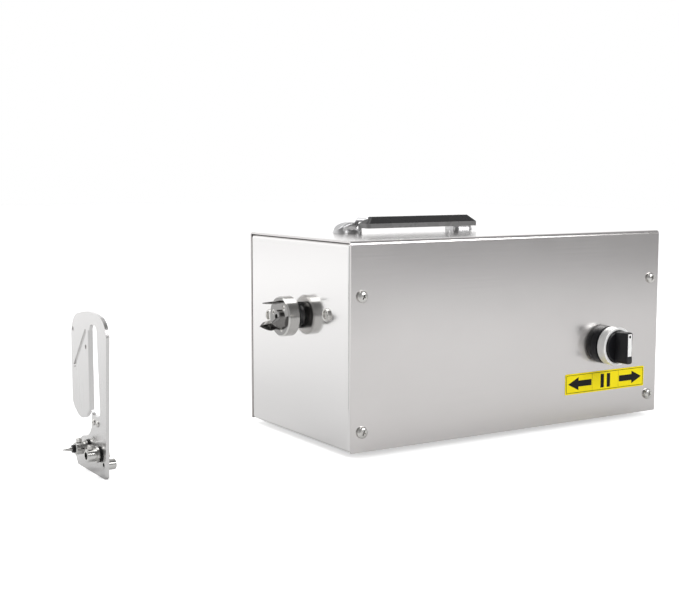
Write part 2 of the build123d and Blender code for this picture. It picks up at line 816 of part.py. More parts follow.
with BuildPart() as gearbox_housing:
    extrude(hull_sketch(side(flange_x), flange_circles), amount=flange_thickness)
    extrude(hull_sketch(side(flange_x), wall_circles), amount=gear_cover_x - flange_x)
    disc(side(flange_x), cover_bosses, cover_boss_radius, gear_cover_x - flange_x)
    cavity_start = flange_x + flange_thickness
    cavity = hull_sketch(side(cavity_start), cavity_circles)
    extrude(cavity, amount=gear_cover_x - cavity_start, mode=Mode.SUBTRACT)
    boss_length = boss_end - cavity_start
    disc(side(cavity_start), [spindle_centre], bearing_radius + boss_wall, boss_length)
    disc(side(cavity_start), [idler_centre], bush_radius + boss_wall, boss_length)
    disc(side(cavity_start), bolt_points, bolt_radius + boss_wall, boss_length)
    disc(side(flange_x), [spindle_centre], spindle_radius + shaft_hole_room, bearing_lip, mode=Mode.SUBTRACT)
    seat_start = side(flange_x + bearing_lip)
    disc(seat_start, [spindle_centre], bearing_radius + thread_room, bearing_length, mode=Mode.SUBTRACT)
    disc(seat_start, [idler_centre], bush_radius + thread_room, bearing_length, mode=Mode.SUBTRACT)
    disc(side(flange_x), bolt_points, bolt_radius + thread_room, bolt_grip, mode=Mode.SUBTRACT)
    screw_depth = -gear_cover_screw_depth
    disc(side(gear_cover_x), cover_bosses, m4_radius + thread_room, screw_depth, mode=Mode.SUBTRACT)
gearbox_housing.part.label = "gearbox_housing"
export_step(gearbox_housing.part, "parts/gearbox_housing.step")

tie_bolt_points = [polar(motor_centre, tie_bolt_circle, 45 + quarter * 90) for quarter in range(4)]
motor_shaft_hole = fast_module * (motor_teeth / 2 + addendum) + shaft_hole_room

with BuildPart() as gearbox_cover:
    cover_circles = wall_circles + [(motor_centre, motor_radius)]
    extrude(hull_sketch(side(gear_cover_x), cover_circles), amount=gear_cover_thickness)
    disc(side(gear_cover_x), cover_bosses, cover_boss_radius, gear_cover_thickness)
    through = gear_cover_thickness
    disc(side(gear_cover_x), cover_bosses, m4_radius + screw_room, through, mode=Mode.SUBTRACT)
    disc(side(gear_cover_x), [spindle_centre], spindle_bush_radius + thread_room, through, mode=Mode.SUBTRACT)
    disc(side(gear_cover_x), [idler_centre], bush_radius + thread_room, through, mode=Mode.SUBTRACT)
    disc(side(gear_cover_x), [motor_centre], motor_shaft_hole, through, mode=Mode.SUBTRACT)
    disc(side(gear_cover_x), tie_bolt_points, m4_radius + thread_room, through, mode=Mode.SUBTRACT)
gearbox_cover.part.label = "gearbox_cover"
export_step(gearbox_cover.part, "parts/gearbox_cover.step")

with BuildPart() as gearbox_screws:
    screw_shank = gear_cover_thickness + gear_cover_screw_depth - gear_gap / 2
    pan_screws(side(motor_x), cover_bosses, tie_bolt_head, cover_head_height, m4_radius, screw_shank)
gearbox_screws.part.label = "gearbox_screws"
export_step(gearbox_screws.part, "parts/gearbox_screws.step")

with BuildPart() as gearbox_bolts:
    bolt_shank = sheet + bolt_grip - seam
    pan_screws(side(case_left), bolt_points, bolt_head_radius, -bolt_head_height, bolt_radius, -bolt_shank)
gearbox_bolts.part.label = "gearbox_bolts"
export_step(gearbox_bolts.part, "parts/gearbox_bolts.step")

with BuildPart() as spindle_bearing:
    bearing_start = side(flange_x + bearing_lip)
    bore = spindle_radius + running_room
    disc(bearing_start, [spindle_centre], bearing_radius, bearing_length, bore=bore)
    chamfer(rims(bearing_start, 0) + rims(bearing_start, bearing_length), bearing_edge)
spindle_bearing.part.label = "spindle_bearing"
export_step(spindle_bearing.part, "parts/spindle_bearing.step")

with BuildPart() as shaft_bushes:
    idler_bore = idler_radius + running_room
    disc(side(flange_x + bearing_lip), [idler_centre], bush_radius, bush_length, bore=idler_bore)
    disc(side(gear_cover_x), [idler_centre], bush_radius, gear_cover_thickness, bore=idler_bore)
    journal_bore = spindle_journal + running_room
    disc(side(gear_cover_x), [spindle_centre], spindle_bush_radius, gear_cover_thickness, bore=journal_bore)
shaft_bushes.part.label = "shaft_bushes"
export_step(shaft_bushes.part, "parts/shaft_bushes.step")

# ------------------------------------------------------------------ motor

bell_room = motor_radius - can_wall
bearing_boss = motor_bearing_radius + boss_wall


def end_bell(outer_face, inwards):
    """A motor end bell whose open side points along X by the sign of inwards."""
    web = side(outer_face)
    disc(web, [motor_centre], motor_radius, inwards * bell_thickness)
    fillet(rims(web, 0), bell_edge)
    inner_face = side(outer_face + inwards * bell_web)
    hollow = inwards * (bell_thickness - bell_web)
    disc(inner_face, [motor_centre], bell_room, hollow, bore=bearing_boss, mode=Mode.SUBTRACT)
    seat = side(outer_face + inwards * (bell_thickness - motor_bearing_length))
    seat_length = inwards * motor_bearing_length
    disc(seat, [motor_centre], motor_bearing_radius + thread_room, seat_length, mode=Mode.SUBTRACT)
    through = inwards * bell_thickness
    disc(web, [motor_centre], motor_shaft_hole, through, mode=Mode.SUBTRACT)
    disc(web, tie_bolt_points, m4_radius + screw_room, through, mode=Mode.SUBTRACT)


with BuildPart() as motor_front_bell:
    end_bell(motor_x, 1)
motor_front_bell.part.label = "motor_front_bell"
export_step(motor_front_bell.part, "parts/motor_front_bell.step")

with BuildPart() as motor_rear_bell:
    end_bell(motor_end, -1)
motor_rear_bell.part.label = "motor_rear_bell"
export_step(motor_rear_bell.part, "parts/motor_rear_bell.step")

with BuildPart() as motor_can:
    disc(side(can_x), [motor_centre], motor_radius, can_length, bore=bell_room)
motor_can.part.label = "motor_can"
export_step(motor_can.part, "parts/motor_can.step")

with BuildPart() as stator_core:
    stator_bore = rotor_radius + air_gap
    disc(side(core_x), [motor_centre], bell_room - thread_room, rotor_length, bore=stator_bore)
    disc(side(core_x), tie_bolt_points, m4_radius + screw_room, rotor_length, mode=Mode.SUBTRACT)
stator_core.part.label = "stator_core"
export_step(stator_core.part, "parts/stator_core.step")

with BuildPart() as stator_windings:
    for face, outwards in ((core_x, -1), (core_end, 1)):
        winding = outwards * winding_length
        disc(side(face), [motor_centre], winding_outer, winding, bore=winding_inner)
        fillet(rims(side(face), winding), winding_round)
stator_windings.part.label = "stator_windings"
export_step(stator_windings.part, "parts/stator_windings.step")

with BuildPart() as motor_bearings:
    for bearing_x in (can_x - motor_bearing_length, can_end):
        bore = rotor_shaft_radius + running_room
        disc(side(bearing_x), [motor_centre], motor_bearing_radius, motor_bearing_length, bore=bore)
motor_bearings.part.label = "motor_bearings"
export_step(motor_bearings.part, "parts/motor_bearings.step")

with BuildPart() as rotor_shaft:
    teeth_start = fast_x - pinion_overhang
    teeth_end = fast_x + fast_face + pinion_overhang
    extrude(
        gear_sketch(side(teeth_start), motor_centre, fast_module, motor_teeth, motor_to_idler),
        amount=teeth_end - teeth_start,
    )
    disc(side(teeth_end), [motor_centre], rotor_shaft_radius, fan_x + fan_thickness - teeth_end)
    disc(side(core_x), [motor_centre], rotor_seat_radius, rotor_length)
rotor_shaft.part.label = "rotor_shaft"
export_step(rotor_shaft.part, "parts/rotor_shaft.step")

with BuildPart() as rotor_core:
    disc(side(core_x), [motor_centre], rotor_radius, rotor_length, bore=rotor_seat_radius + thread_room)
rotor_core.part.label = "rotor_core"
export_step(rotor_core.part, "parts/rotor_core.step")

with BuildPart() as tie_bolts:
    tie_shank = motor_end - motor_x + gear_cover_thickness - gear_gap / 2
    pan_screws(side(motor_end), tie_bolt_points, tie_bolt_head, cover_head_height, m4_radius, tie_shank)
tie_bolts.part.label = "tie_bolts"
export_step(tie_bolts.part, "parts/tie_bolts.step")

with BuildPart() as cooling_fan:
    disc(side(fan_x), [motor_centre], fan_radius, fan_disc)
    disc(side(fan_x), [motor_centre], fan_hub_radius, fan_thickness)
    with BuildSketch(side(fan_x)) as blades:
        with Locations(motor_centre):
            with PolarLocations((fan_radius + fan_hub_radius) / 2 - fan_disc, fan_blades):
                Rectangle(fan_radius - fan_hub_radius, fan_blade_thickness)
    extrude(amount=fan_thickness)
    disc(side(fan_x), [motor_centre], rotor_shaft_radius + thread_room, fan_thickness, mode=Mode.SUBTRACT)
cooling_fan.part.label = "cooling_fan"
export_step(cooling_fan.part, "parts/cooling_fan.step")

with BuildPart() as motor_bracket:
    cradle_top = motor_centre[1] - motor_radius / 2
    wall_middle = (motor_centre[0], (base_top + cradle_top) / 2)
    block(side(bracket_x), [wall_middle], 2 * bracket_half_width, cradle_top - base_top, bracket_sheet)
    disc(side(bracket_x), [motor_centre], motor_radius + running_room, bracket_sheet, mode=Mode.SUBTRACT)
    foot_middle = (bracket_x + (bracket_sheet + bracket_foot) / 2, motor_centre[0])
    foot_span = bracket_sheet + bracket_foot
    block(level(base_top), [foot_middle], foot_span, 2 * bracket_half_width, bracket_sheet)
    disc(level(base_top), bracket_rivets, rivet_radius + thread_room, bracket_sheet, mode=Mode.SUBTRACT)
motor_bracket.part.label = "motor_bracket"
export_step(motor_bracket.part, "parts/motor_bracket.step")

# ------------------------------------------------------------------ selector switch and label

selector_axis = [(selector_x, selector_z)]
panel = front(case_front)
knob_start = collar_length + knob_room

with BuildPart() as selector_collar:
    disc(panel, selector_axis, collar_radius, collar_length - collar_neck_length)
    fillet(rims(panel, collar_length - collar_neck_length), collar_edge)
    disc(panel, selector_axis, collar_neck_radius, collar_length)
    disc(panel, selector_axis, stem_radius, -stem_length)
    bore_radius = knob_stem_radius + running_room
    stem_end = front(case_front + stem_length)
    disc(stem_end, selector_axis, bore_radius, stem_length + collar_length, mode=Mode.SUBTRACT)
selector_collar.part.label = "selector_collar"
export_step(selector_collar.part, "parts/selector_collar.step")

with BuildPart() as selector_ring:
    ring_start = panel.offset(collar_length)
    disc(ring_start, selector_axis, ring_radius, ring_length, bore=ring_radius - ring_wall)
    fillet(rims(ring_start, ring_length), ring_edge)
selector_ring.part.label = "selector_ring"
export_step(selector_ring.part, "parts/selector_ring.step")

with BuildPart() as selector_knob:
    knob_radius = ring_radius - ring_wall - knob_room
    disc(panel.offset(knob_start), selector_axis, knob_radius, knob_disc_end - knob_start)
    fillet(rims(panel, knob_disc_end), knob_edge)
    with BuildSketch(panel.offset(knob_disc_end)) as lever:
        with Locations(*selector_axis):
            Rectangle(lever_width, lever_length)
            Circle(lever_length / 2, mode=Mode.INTERSECT)
    extrude(amount=lever_end - knob_disc_end)
    fillet(faces().filter_by(Axis.Y).sort_by(Axis.Y)[0].edges(), knob_edge)
    marker_middle = [(selector_x, selector_z + (marker_top + marker_bottom) / 2)]
    marker_length = marker_top - marker_bottom
    groove_width = marker_width + 2 * slot_room
    groove_length = marker_length + 2 * slot_room
    lever_face = panel.offset(lever_end)
    block(lever_face, marker_middle, groove_width, groove_length, -marker_depth, mode=Mode.SUBTRACT)
    disc(panel.offset(knob_start), selector_axis, knob_stem_radius, -knob_start - stem_length)
selector_knob.part.label = "selector_knob"
export_step(selector_knob.part, "parts/selector_knob.step")

with BuildPart() as knob_marker:
    block(lever_face, marker_middle, marker_width, marker_length, -marker_depth)
knob_marker.part.label = "knob_marker"
export_step(knob_marker.part, "parts/knob_marker.step")

with BuildPart() as selector_lock_nut:
    behind = front(case_front + sheet)
    hexagon(behind, selector_axis, lock_nut_across, -lock_nut_length, bore=stem_radius + thread_room)
selector_lock_nut.part.label = "selector_lock_nut"
export_step(selector_lock_nut.part, "parts/selector_lock_nut.step")

with BuildPart() as switch_adapter:
    adapter_face = front(case_front + stem_length)
    block(adapter_face, selector_axis, adapter_size, adapter_size, -adapter_length, corner=bend_radius)
    disc(adapter_face, selector_axis, knob_stem_radius + running_room, -seam, mode=Mode.SUBTRACT)
switch_adapter.part.label = "switch_adapter"
export_step(switch_adapter.part, "parts/switch_adapter.step")

with BuildPart() as contact_blocks:
    contact_face = front(case_front + stem_length + adapter_length)
    contact_spots = [(selector_x + hand * (contact_width + seam) / 2, selector_z) for hand in (-1, 1)]
    block(contact_face, contact_spots, contact_width, contact_height, -contact_depth)
contact_blocks.part.label = "contact_blocks"
export_step(contact_blocks.part, "parts/contact_blocks.step")

with BuildPart() as direction_label:
    label_middle = [(selector_x + label_shift, selector_z - label_drop)]
    block(panel, label_middle, label_length, label_width, label_thickness, corner=label_corner)
direction_label.part.label = "direction_label"
export_step(direction_label.part, "parts/direction_label.step")

# ------------------------------------------------------------------ handle


def bail_rod(radius, mode=Mode.ADD):
    """The handle's round rod: two pivot ends, two arms that rise and run forward, and a bar between them."""
    arm = arm_spacing / 2
    knee_y = handle_y - rod_rise
    grip_y = handle_y - grip_reach
    left_half = [
        (handle_x - arm - pin_bite, handle_y, hinge_z),
        (handle_x - arm, handle_y, hinge_z),
        (handle_x - arm, knee_y, rod_z),
        (handle_x - arm, grip_y, rod_z),
    ]
    right_half = [(2 * handle_x - x, y, z) for x, y, z in reversed(left_half)]
    with BuildLine() as path:
        FilletPolyline(*left_half, *right_half, radius=rod_bend)
    with BuildSketch(Plane(origin=path.line @ 0, z_dir=(1, 0, 0))) as section:
        Circle(radius)
    sweep(section.sketch, path=path.line, mode=mode)


with BuildPart() as handle_bail:
    bail_rod(rod_radius)
handle_bail.part.label = "handle_bail"
export_step(handle_bail.part, "parts/handle_bail.step")

with BuildPart() as handle_grip:
    shoulder = level(case_top + grip_gap + grip_side)
    grip_middle = [(handle_x, handle_y - grip_reach)]
    block(shoulder, grip_middle, grip_length, grip_width, -grip_side, corner=grip_corner)
    with BuildSketch(shoulder) as shoulder_outline:
        with Locations(*grip_middle):
            RectangleRounded(grip_length, grip_width, grip_corner)
    with BuildSketch(shoulder.offset(grip_bevel)) as top_outline:
        with Locations(*grip_middle):
            top_width = grip_width - 2 * grip_bevel
            RectangleRounded(grip_length - 2 * grip_end_bevel, top_width, top_width / 3)
    loft([shoulder_outline.sketch, top_outline.sketch])
    fillet(faces().sort_by(Axis.Z)[-1].edges(), grip_edge)
    bail_rod(rod_radius + thread_room, mode=Mode.SUBTRACT)
handle_grip.part.label = "handle_grip"
export_step(handle_grip.part, "parts/handle_grip.step")


def handle_bracket(hand):
    """One of the handle's feet: a plate with a slotted dome; hand is -1 on the left and 1 on the right."""
    inner = handle_x + hand * (bracket_tip - dome_length)
    tip = handle_x + hand * bracket_tip
    middle = (inner + tip) / 2
    tip_top = (tip, case_top + dome_tip)
    inner_top = (inner, case_top + dome_height)
    with BuildSketch(front(handle_y + dome_width / 2)) as profile:
        with BuildLine():
            Polyline(inner_top, (inner, case_top), (tip, case_top), tip_top)
            ThreePointArc(tip_top, (middle, case_top + dome_crown), inner_top)
        make_face()
    extrude(profile.sketch, amount=dome_width)
    upright = edges().filter_by(Axis.Z)
    fillet([edge for edge in upright if abs(edge.center().X - tip) < seam], dome_tip_round)
    fillet(faces().sort_by(Axis.Z)[-1].edges(), dome_edge)
    with BuildSketch(level(case_top)) as plate_outline:
        with Locations((middle, handle_y)):
            RectangleRounded(dome_length + 2 * bracket_rim, bracket_width, bracket_width / 2 - seam)
    extrude(plate_outline.sketch, amount=bracket_plate, taper=bracket_taper)
    slot_middle = (inner + hand * (arm_slot_edge + arm_slot / 2), handle_y)
    slot_floor = level(case_top + bracket_plate)
    block(slot_floor, [slot_middle], arm_slot, bracket_width, dome_crown, mode=Mode.SUBTRACT)
    pin_hole = arm_cheek + pin_bite + seam
    disc(side(inner), [(handle_y, hinge_z)], rod_radius + running_room, hand * pin_hole, mode=Mode.SUBTRACT)
    centres = handle_screw_points[:2] if hand < 0 else handle_screw_points[2:]
    disc(level(case_top), centres, handle_screw_radius + thread_room, handle_screw_bite, mode=Mode.SUBTRACT)


with BuildPart() as handle_bracket_left:
    handle_bracket(-1)
handle_bracket_left.part.label = "handle_bracket_left"
export_step(handle_bracket_left.part, "parts/handle_bracket_left.step")

with BuildPart() as handle_bracket_right:
    handle_bracket(1)
handle_bracket_right.part.label = "handle_bracket_right"
export_step(handle_bracket_right.part, "parts/handle_bracket_right.step")

with BuildPart() as handle_screws:
    under_top = level(case_top - sheet)
    head_height = -inlet_screw_head_height
    shank = seam - sheet - handle_screw_bite
    pan_screws(under_top, handle_screw_points, handle_screw_head, head_height, handle_screw_radius, shank)
handle_screws.part.label = "handle_screws"
export_step(handle_screws.part, "parts/handle_screws.step")

# ------------------------------------------------------------------ power inlet

outside = side(case_right)
with BuildPart() as power_inlet:
    flange_size = (inlet_flange_length, inlet_flange_height)
    block(outside, [inlet_centre], *flange_size, inlet_flange, corner=inlet_corner)
    block(outside, [inlet_centre], inlet_width, inlet_height, -inlet_depth, corner=inlet_corner)
    cavity_size = (inlet_width - 2 * inlet_wall, inlet_height - 2 * inlet_wall)
    mouth = outside.offset(inlet_flange)
    block(mouth, [inlet_centre], *cavity_size, -inlet_cavity, corner=inlet_corner, mode=Mode.SUBTRACT)
    disc(outside, inlet_screw_points, inlet_screw_radius + screw_room, inlet_flange, mode=Mode.SUBTRACT)
    pin_points = [
        (inlet_centre[0] + step * inlet_pin_spacing, inlet_centre[1] + rise)
        for step, rise in inlet_pin_places
    ]
    hole_width = inlet_pin_width + 2 * slot_room
    hole_height = inlet_pin_height + 2 * slot_room
    block(outside, pin_points, hole_width, hole_height, -inlet_depth, mode=Mode.SUBTRACT)
power_inlet.part.label = "power_inlet"
export_step(power_inlet.part, "parts/power_inlet.step")

with BuildPart() as inlet_pins:
    pin_start = side(case_right + inlet_flange - inlet_cavity + inlet_pin_length)
    pin_span = inlet_pin_length + inlet_depth + inlet_flange - inlet_cavity + inlet_tab_length
    block(pin_start, pin_points, inlet_pin_width, inlet_pin_height, -pin_span)
inlet_pins.part.label = "inlet_pins"
export_step(inlet_pins.part, "parts/inlet_pins.step")

with BuildPart() as inlet_screws:
    inlet_shank = inlet_flange + sheet + inlet_screw_tail
    pan_screws(
        mouth, inlet_screw_points, inlet_screw_head, inlet_screw_head_height, inlet_screw_radius, inlet_shank,
    )
inlet_screws.part.label = "inlet_screws"
export_step(inlet_screws.part, "parts/inlet_screws.step")

# ------------------------------------------------------------------ knife

knife_x = case_left - knife_distance
near_face = side(knife_x)
far_face = side(knife_x + knife_sheet)


def on_knife(*points):
    """Points given from the knife's front edge and the table, in the row's Y and Z."""
    return [(case_front + knife_front + point[0], point[1]) for point in points]


sleeve_points = on_knife(sleeve_centre, pin_sleeve_centre)
small_points = on_knife(*small_screw_points)
standoff_point = on_knife(standoff_centre)

with BuildPart() as knife_plate:
    with BuildSketch(near_face) as knife_outline:
        with BuildLine():
            foot = ((front_foot, foot_corner), (front_foot + foot_corner, 0), foot_end)
            Polyline(*on_knife(front_top, *foot, heel))
            ThreePointArc(*on_knife(heel, heel_bend, throat_start))
            ThreePointArc(*on_knife(throat_start, throat_bend, throat_corner))
            Polyline(*on_knife(throat_corner, throat_mouth, wing_tip, wing_start))
            ThreePointArc(*on_knife(wing_start, wing_low, wing_end))
            ThreePointArc(*on_knife(wing_end, wing_round, (knife_back, wing_back)))
            Line(*on_knife((knife_back, wing_back), (knife_back, back_shoulder)))
            ThreePointArc(*on_knife((knife_back, back_shoulder), shoulder_round, crown_end))
            ThreePointArc(*on_knife(crown_end, (knife_crown, knife_height), crown_start))
            ThreePointArc(*on_knife(crown_start, front_round, front_top))
        make_face()
    extrude(amount=knife_sheet)
    with BuildSketch(near_face) as slot:
        with BuildLine():
            slot_top = ((slot_front, slot_high), (slot_back, slot_high))
            slot_foot = ((slot_back, slot_low), (slot_front - slot_flare, slot_low))
            Polyline(*on_knife(*slot_top, *slot_foot), close=True)
        make_face()
        fillet(slot.vertices(), slot_corner)
    extrude(amount=knife_sheet, mode=Mode.SUBTRACT)
    with BuildSketch(near_face) as kerf:
        kerf_middle = ((kerf_top[0] + kerf_end[0]) / 2, (kerf_top[1] + kerf_end[1]) / 2)
        kerf_turn = math.degrees(math.atan2(kerf_end[1] - kerf_top[1], kerf_end[0] - kerf_top[0]))
        with Locations(*on_knife(kerf_middle)):
            SlotCenterToCenter(math.dist(kerf_top, kerf_end), kerf_width, rotation=kerf_turn)
    extrude(amount=knife_sheet, mode=Mode.SUBTRACT)
    edge_y = case_front + knife_front + slot_back
    edge_x = knife_x + knife_sheet - edge_land
    with BuildSketch(level(slot_low)) as bevel:
        with BuildLine():
            ground_face = ((knife_x, edge_y + edge_bevel), (edge_x, edge_y))
            Polyline((knife_x, edge_y - seam), *ground_face, (edge_x, edge_y - seam), close=True)
        make_face()
    extrude(amount=slot_high - slot_low - slot_corner, mode=Mode.SUBTRACT)
    disc(near_face, on_knife(*knife_holes), knife_hole_radius, knife_sheet, mode=Mode.SUBTRACT)
    disc(near_face, sleeve_points, sleeve_shank_radius + thread_room, knife_sheet, mode=Mode.SUBTRACT)
    disc(near_face, small_points, small_shank_radius + thread_room, knife_sheet, mode=Mode.SUBTRACT)
    disc(near_face, standoff_point, standoff_shank + thread_room, knife_sheet, mode=Mode.SUBTRACT)
knife_plate.part.label = "knife_plate"
export_step(knife_plate.part, "parts/knife_plate.step")

with BuildPart() as knife_sleeves:
    sleeve_base = near_face.offset(-washer_thickness)
    disc(sleeve_base, sleeve_points, sleeve_flange_radius, -sleeve_flange)
    disc(sleeve_base, sleeve_points, sleeve_radius, -sleeve_flange - sleeve_length)
    chamfer(rims(sleeve_base, -sleeve_flange - sleeve_length), sleeve_edge)
    shank_length = washer_thickness + knife_sheet + sleeve_nut_length
    disc(sleeve_base, sleeve_points, sleeve_shank_radius, shank_length)
    bored = shank_length + sleeve_flange + sleeve_length
    sleeve_mouth = sleeve_base.offset(-sleeve_flange - sleeve_length)
    disc(sleeve_mouth, sleeve_points, sleeve_bore, bored, mode=Mode.SUBTRACT)
    cap_x = knife_x - washer_thickness - sleeve_flange - sleeve_length / 2
    for y, z in sleeve_points:
        disc(level(z), [(cap_x, y)], cap_screw_radius + thread_room, sleeve_radius, mode=Mode.SUBTRACT)
knife_sleeves.part.label = "knife_sleeves"
export_step(knife_sleeves.part, "parts/knife_sleeves.step")

with BuildPart() as cap_screws:
    for y, z in sleeve_points:
        seat = level(z + sleeve_radius)
        reach = sleeve_radius - sleeve_bore
        pan_screws(seat, [(cap_x, y)], cap_head_radius, cap_head_height, cap_screw_radius, reach)
cap_screws.part.label = "cap_screws"
export_step(cap_screws.part, "parts/cap_screws.step")

with BuildPart() as knife_washers:
    disc(near_face, sleeve_points, washer_radius, -washer_thickness, bore=sleeve_shank_radius + thread_room)
knife_washers.part.label = "knife_washers"
export_step(knife_washers.part, "parts/knife_washers.step")

with BuildPart() as sleeve_nuts:
    hexagon(
        far_face, sleeve_points, sleeve_nut_across, sleeve_nut_length, bore=sleeve_shank_radius + thread_room,
    )
sleeve_nuts.part.label = "sleeve_nuts"
export_step(sleeve_nuts.part, "parts/sleeve_nuts.step")

pin_radius = sleeve_bore - thread_room
with BuildPart() as pointed_pin:
    disc(sleeve_mouth, sleeve_points[1:], pin_radius, bored)
    disc(sleeve_mouth, sleeve_points[1:], pin_nose_radius, pin_point - pin_out)
    with BuildSketch(sleeve_mouth.offset(pin_point - pin_out)) as point_root:
        with Locations(*sleeve_points[1:]):
            Circle(pin_nose_radius)
    with BuildSketch(sleeve_mouth.offset(-pin_out)) as point_tip:
        with Locations(*sleeve_points[1:]):
            Circle(pin_tip_radius)
    loft()
pointed_pin.part.label = "pointed_pin"
export_step(pointed_pin.part, "parts/pointed_pin.step")

with BuildPart() as pin_seal:
    disc(sleeve_mouth, sleeve_points[1:], seal_radius, -seal_length, bore=pin_nose_radius + thread_room)
pin_seal.part.label = "pin_seal"
export_step(pin_seal.part, "parts/pin_seal.step")

with BuildPart() as knife_small_screws:
    head_height = -small_head_height
    pan_screws(near_face, small_points, small_head_radius, head_height, small_shank_radius, -knife_sheet)
knife_small_screws.part.label = "knife_small_screws"
export_step(knife_small_screws.part, "parts/knife_small_screws.step")

with BuildPart() as rear_standoff:
    disc(near_face, standoff_point, standoff_shank, knife_sheet)
    disc(far_face, standoff_point, standoff_radius, standoff_length)
    chamfer(rims(far_face, standoff_length), sleeve_edge)
    standoff_through = knife_sheet + standoff_length
    disc(near_face, standoff_point, standoff_bore, standoff_through, mode=Mode.SUBTRACT)
rear_standoff.part.label = "rear_standoff"
export_step(rear_standoff.part, "parts/rear_standoff.step")
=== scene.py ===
"""Looks of an electric tornado potato cutter.

A brushed steel case with a pronged chuck on its left end, a selector switch over a direction label on its
front, a folding handle on top, and a separate slotted knife beside it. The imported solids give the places. The
classes below dress them, and build the shapes that the solids only outline: cross recesses, dished bolts,
ground prongs, a waisted knob and the label's symbols.

Lengths are in metres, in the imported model's frame: X along the case, Y from front to back, Z up.
"""

from __future__ import annotations

import json
import logging
import math
from dataclasses import dataclass, field
from enum import Enum
from functools import cache
from typing import Callable, Iterable

import bpy
from mathutils import Matrix, Vector

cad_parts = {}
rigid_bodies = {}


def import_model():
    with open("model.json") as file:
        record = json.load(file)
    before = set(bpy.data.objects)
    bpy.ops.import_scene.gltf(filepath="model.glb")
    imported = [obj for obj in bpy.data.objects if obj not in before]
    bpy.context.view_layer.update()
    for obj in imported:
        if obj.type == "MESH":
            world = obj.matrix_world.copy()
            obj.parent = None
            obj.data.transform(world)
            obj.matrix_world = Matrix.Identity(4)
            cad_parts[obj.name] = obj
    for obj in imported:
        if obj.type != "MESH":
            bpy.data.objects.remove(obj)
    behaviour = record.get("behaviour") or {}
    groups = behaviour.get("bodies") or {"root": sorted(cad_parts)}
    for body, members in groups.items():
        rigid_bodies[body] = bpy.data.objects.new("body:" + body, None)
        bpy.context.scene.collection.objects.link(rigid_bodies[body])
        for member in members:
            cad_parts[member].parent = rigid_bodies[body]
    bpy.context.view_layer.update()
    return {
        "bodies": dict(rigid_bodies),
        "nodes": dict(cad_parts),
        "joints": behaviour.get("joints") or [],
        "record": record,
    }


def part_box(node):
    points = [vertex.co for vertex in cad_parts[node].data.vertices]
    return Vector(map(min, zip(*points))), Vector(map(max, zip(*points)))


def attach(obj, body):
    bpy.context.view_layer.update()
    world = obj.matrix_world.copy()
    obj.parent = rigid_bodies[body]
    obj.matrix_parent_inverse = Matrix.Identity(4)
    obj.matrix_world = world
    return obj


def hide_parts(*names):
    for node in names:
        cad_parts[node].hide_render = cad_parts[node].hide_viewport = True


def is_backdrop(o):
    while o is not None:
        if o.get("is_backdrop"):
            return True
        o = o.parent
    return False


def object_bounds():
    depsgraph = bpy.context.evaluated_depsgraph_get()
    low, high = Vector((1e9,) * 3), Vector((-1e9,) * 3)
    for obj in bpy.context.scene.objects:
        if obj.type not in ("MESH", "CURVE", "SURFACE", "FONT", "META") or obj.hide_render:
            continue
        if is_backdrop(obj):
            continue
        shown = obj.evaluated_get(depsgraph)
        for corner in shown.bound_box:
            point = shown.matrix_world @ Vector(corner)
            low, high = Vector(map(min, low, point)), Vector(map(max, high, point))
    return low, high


LOG = logging.getLogger("tornado_cutter")
MM = 0.001
Colour = tuple[float, float, float]
Point = tuple[float, float]
Place = tuple[float, float, float]
Socket = bpy.types.NodeSocket


class Grain(Enum):
    """The direction that a sheet was brushed in, as the texture's scale per metre along X, Y and Z."""

    ALONG_X = (9.0, 1500.0, 1500.0)
    ALONG_Y = (1500.0, 9.0, 1500.0)
    ALONG_Z = (1500.0, 1500.0, 9.0)
    TURNED = (1400.0, 160.0, 160.0)


class Facing(Enum):
    """A face of the case: where a piece's own x, y and outward z point."""

    FRONT = ((1, 0, 0), (0, 0, 1), (0, -1, 0))
    BACK = ((-1, 0, 0), (0, 0, 1), (0, 1, 0))
    LEFT = ((0, -1, 0), (0, 0, 1), (-1, 0, 0))
    UP = ((1, 0, 0), (0, 1, 0), (0, 0, 1))

    def at(self, place: Iterable[float]) -> Matrix:
        """The matrix that stands a piece on this face.

        Args:
            place: Where the piece's own origin goes, in the row frame.

        Returns:
            A 4 x 4 matrix for Shape.moved.
        """
        turn = Matrix([Vector(axis) for axis in self.value]).transposed().to_4x4()
        return Matrix.Translation(Vector(place)) @ turn


# ------------------------------------------------------------------ finishes


WHITE = (1.0, 1.0, 1.0, 1.0)
# A noise stays mostly between these two values.
NOISE_LOW, NOISE_HIGH = 0.3, 0.7
# The Mix node gives its sockets for colours and for numbers the same names, so they are told apart by number.
MIX_SHARE = 0
NUMBER_FIRST, NUMBER_SECOND, NUMBER_RESULT = 2, 3, 0
COLOUR_FIRST, COLOUR_SECOND, COLOUR_RESULT = 6, 7, 2


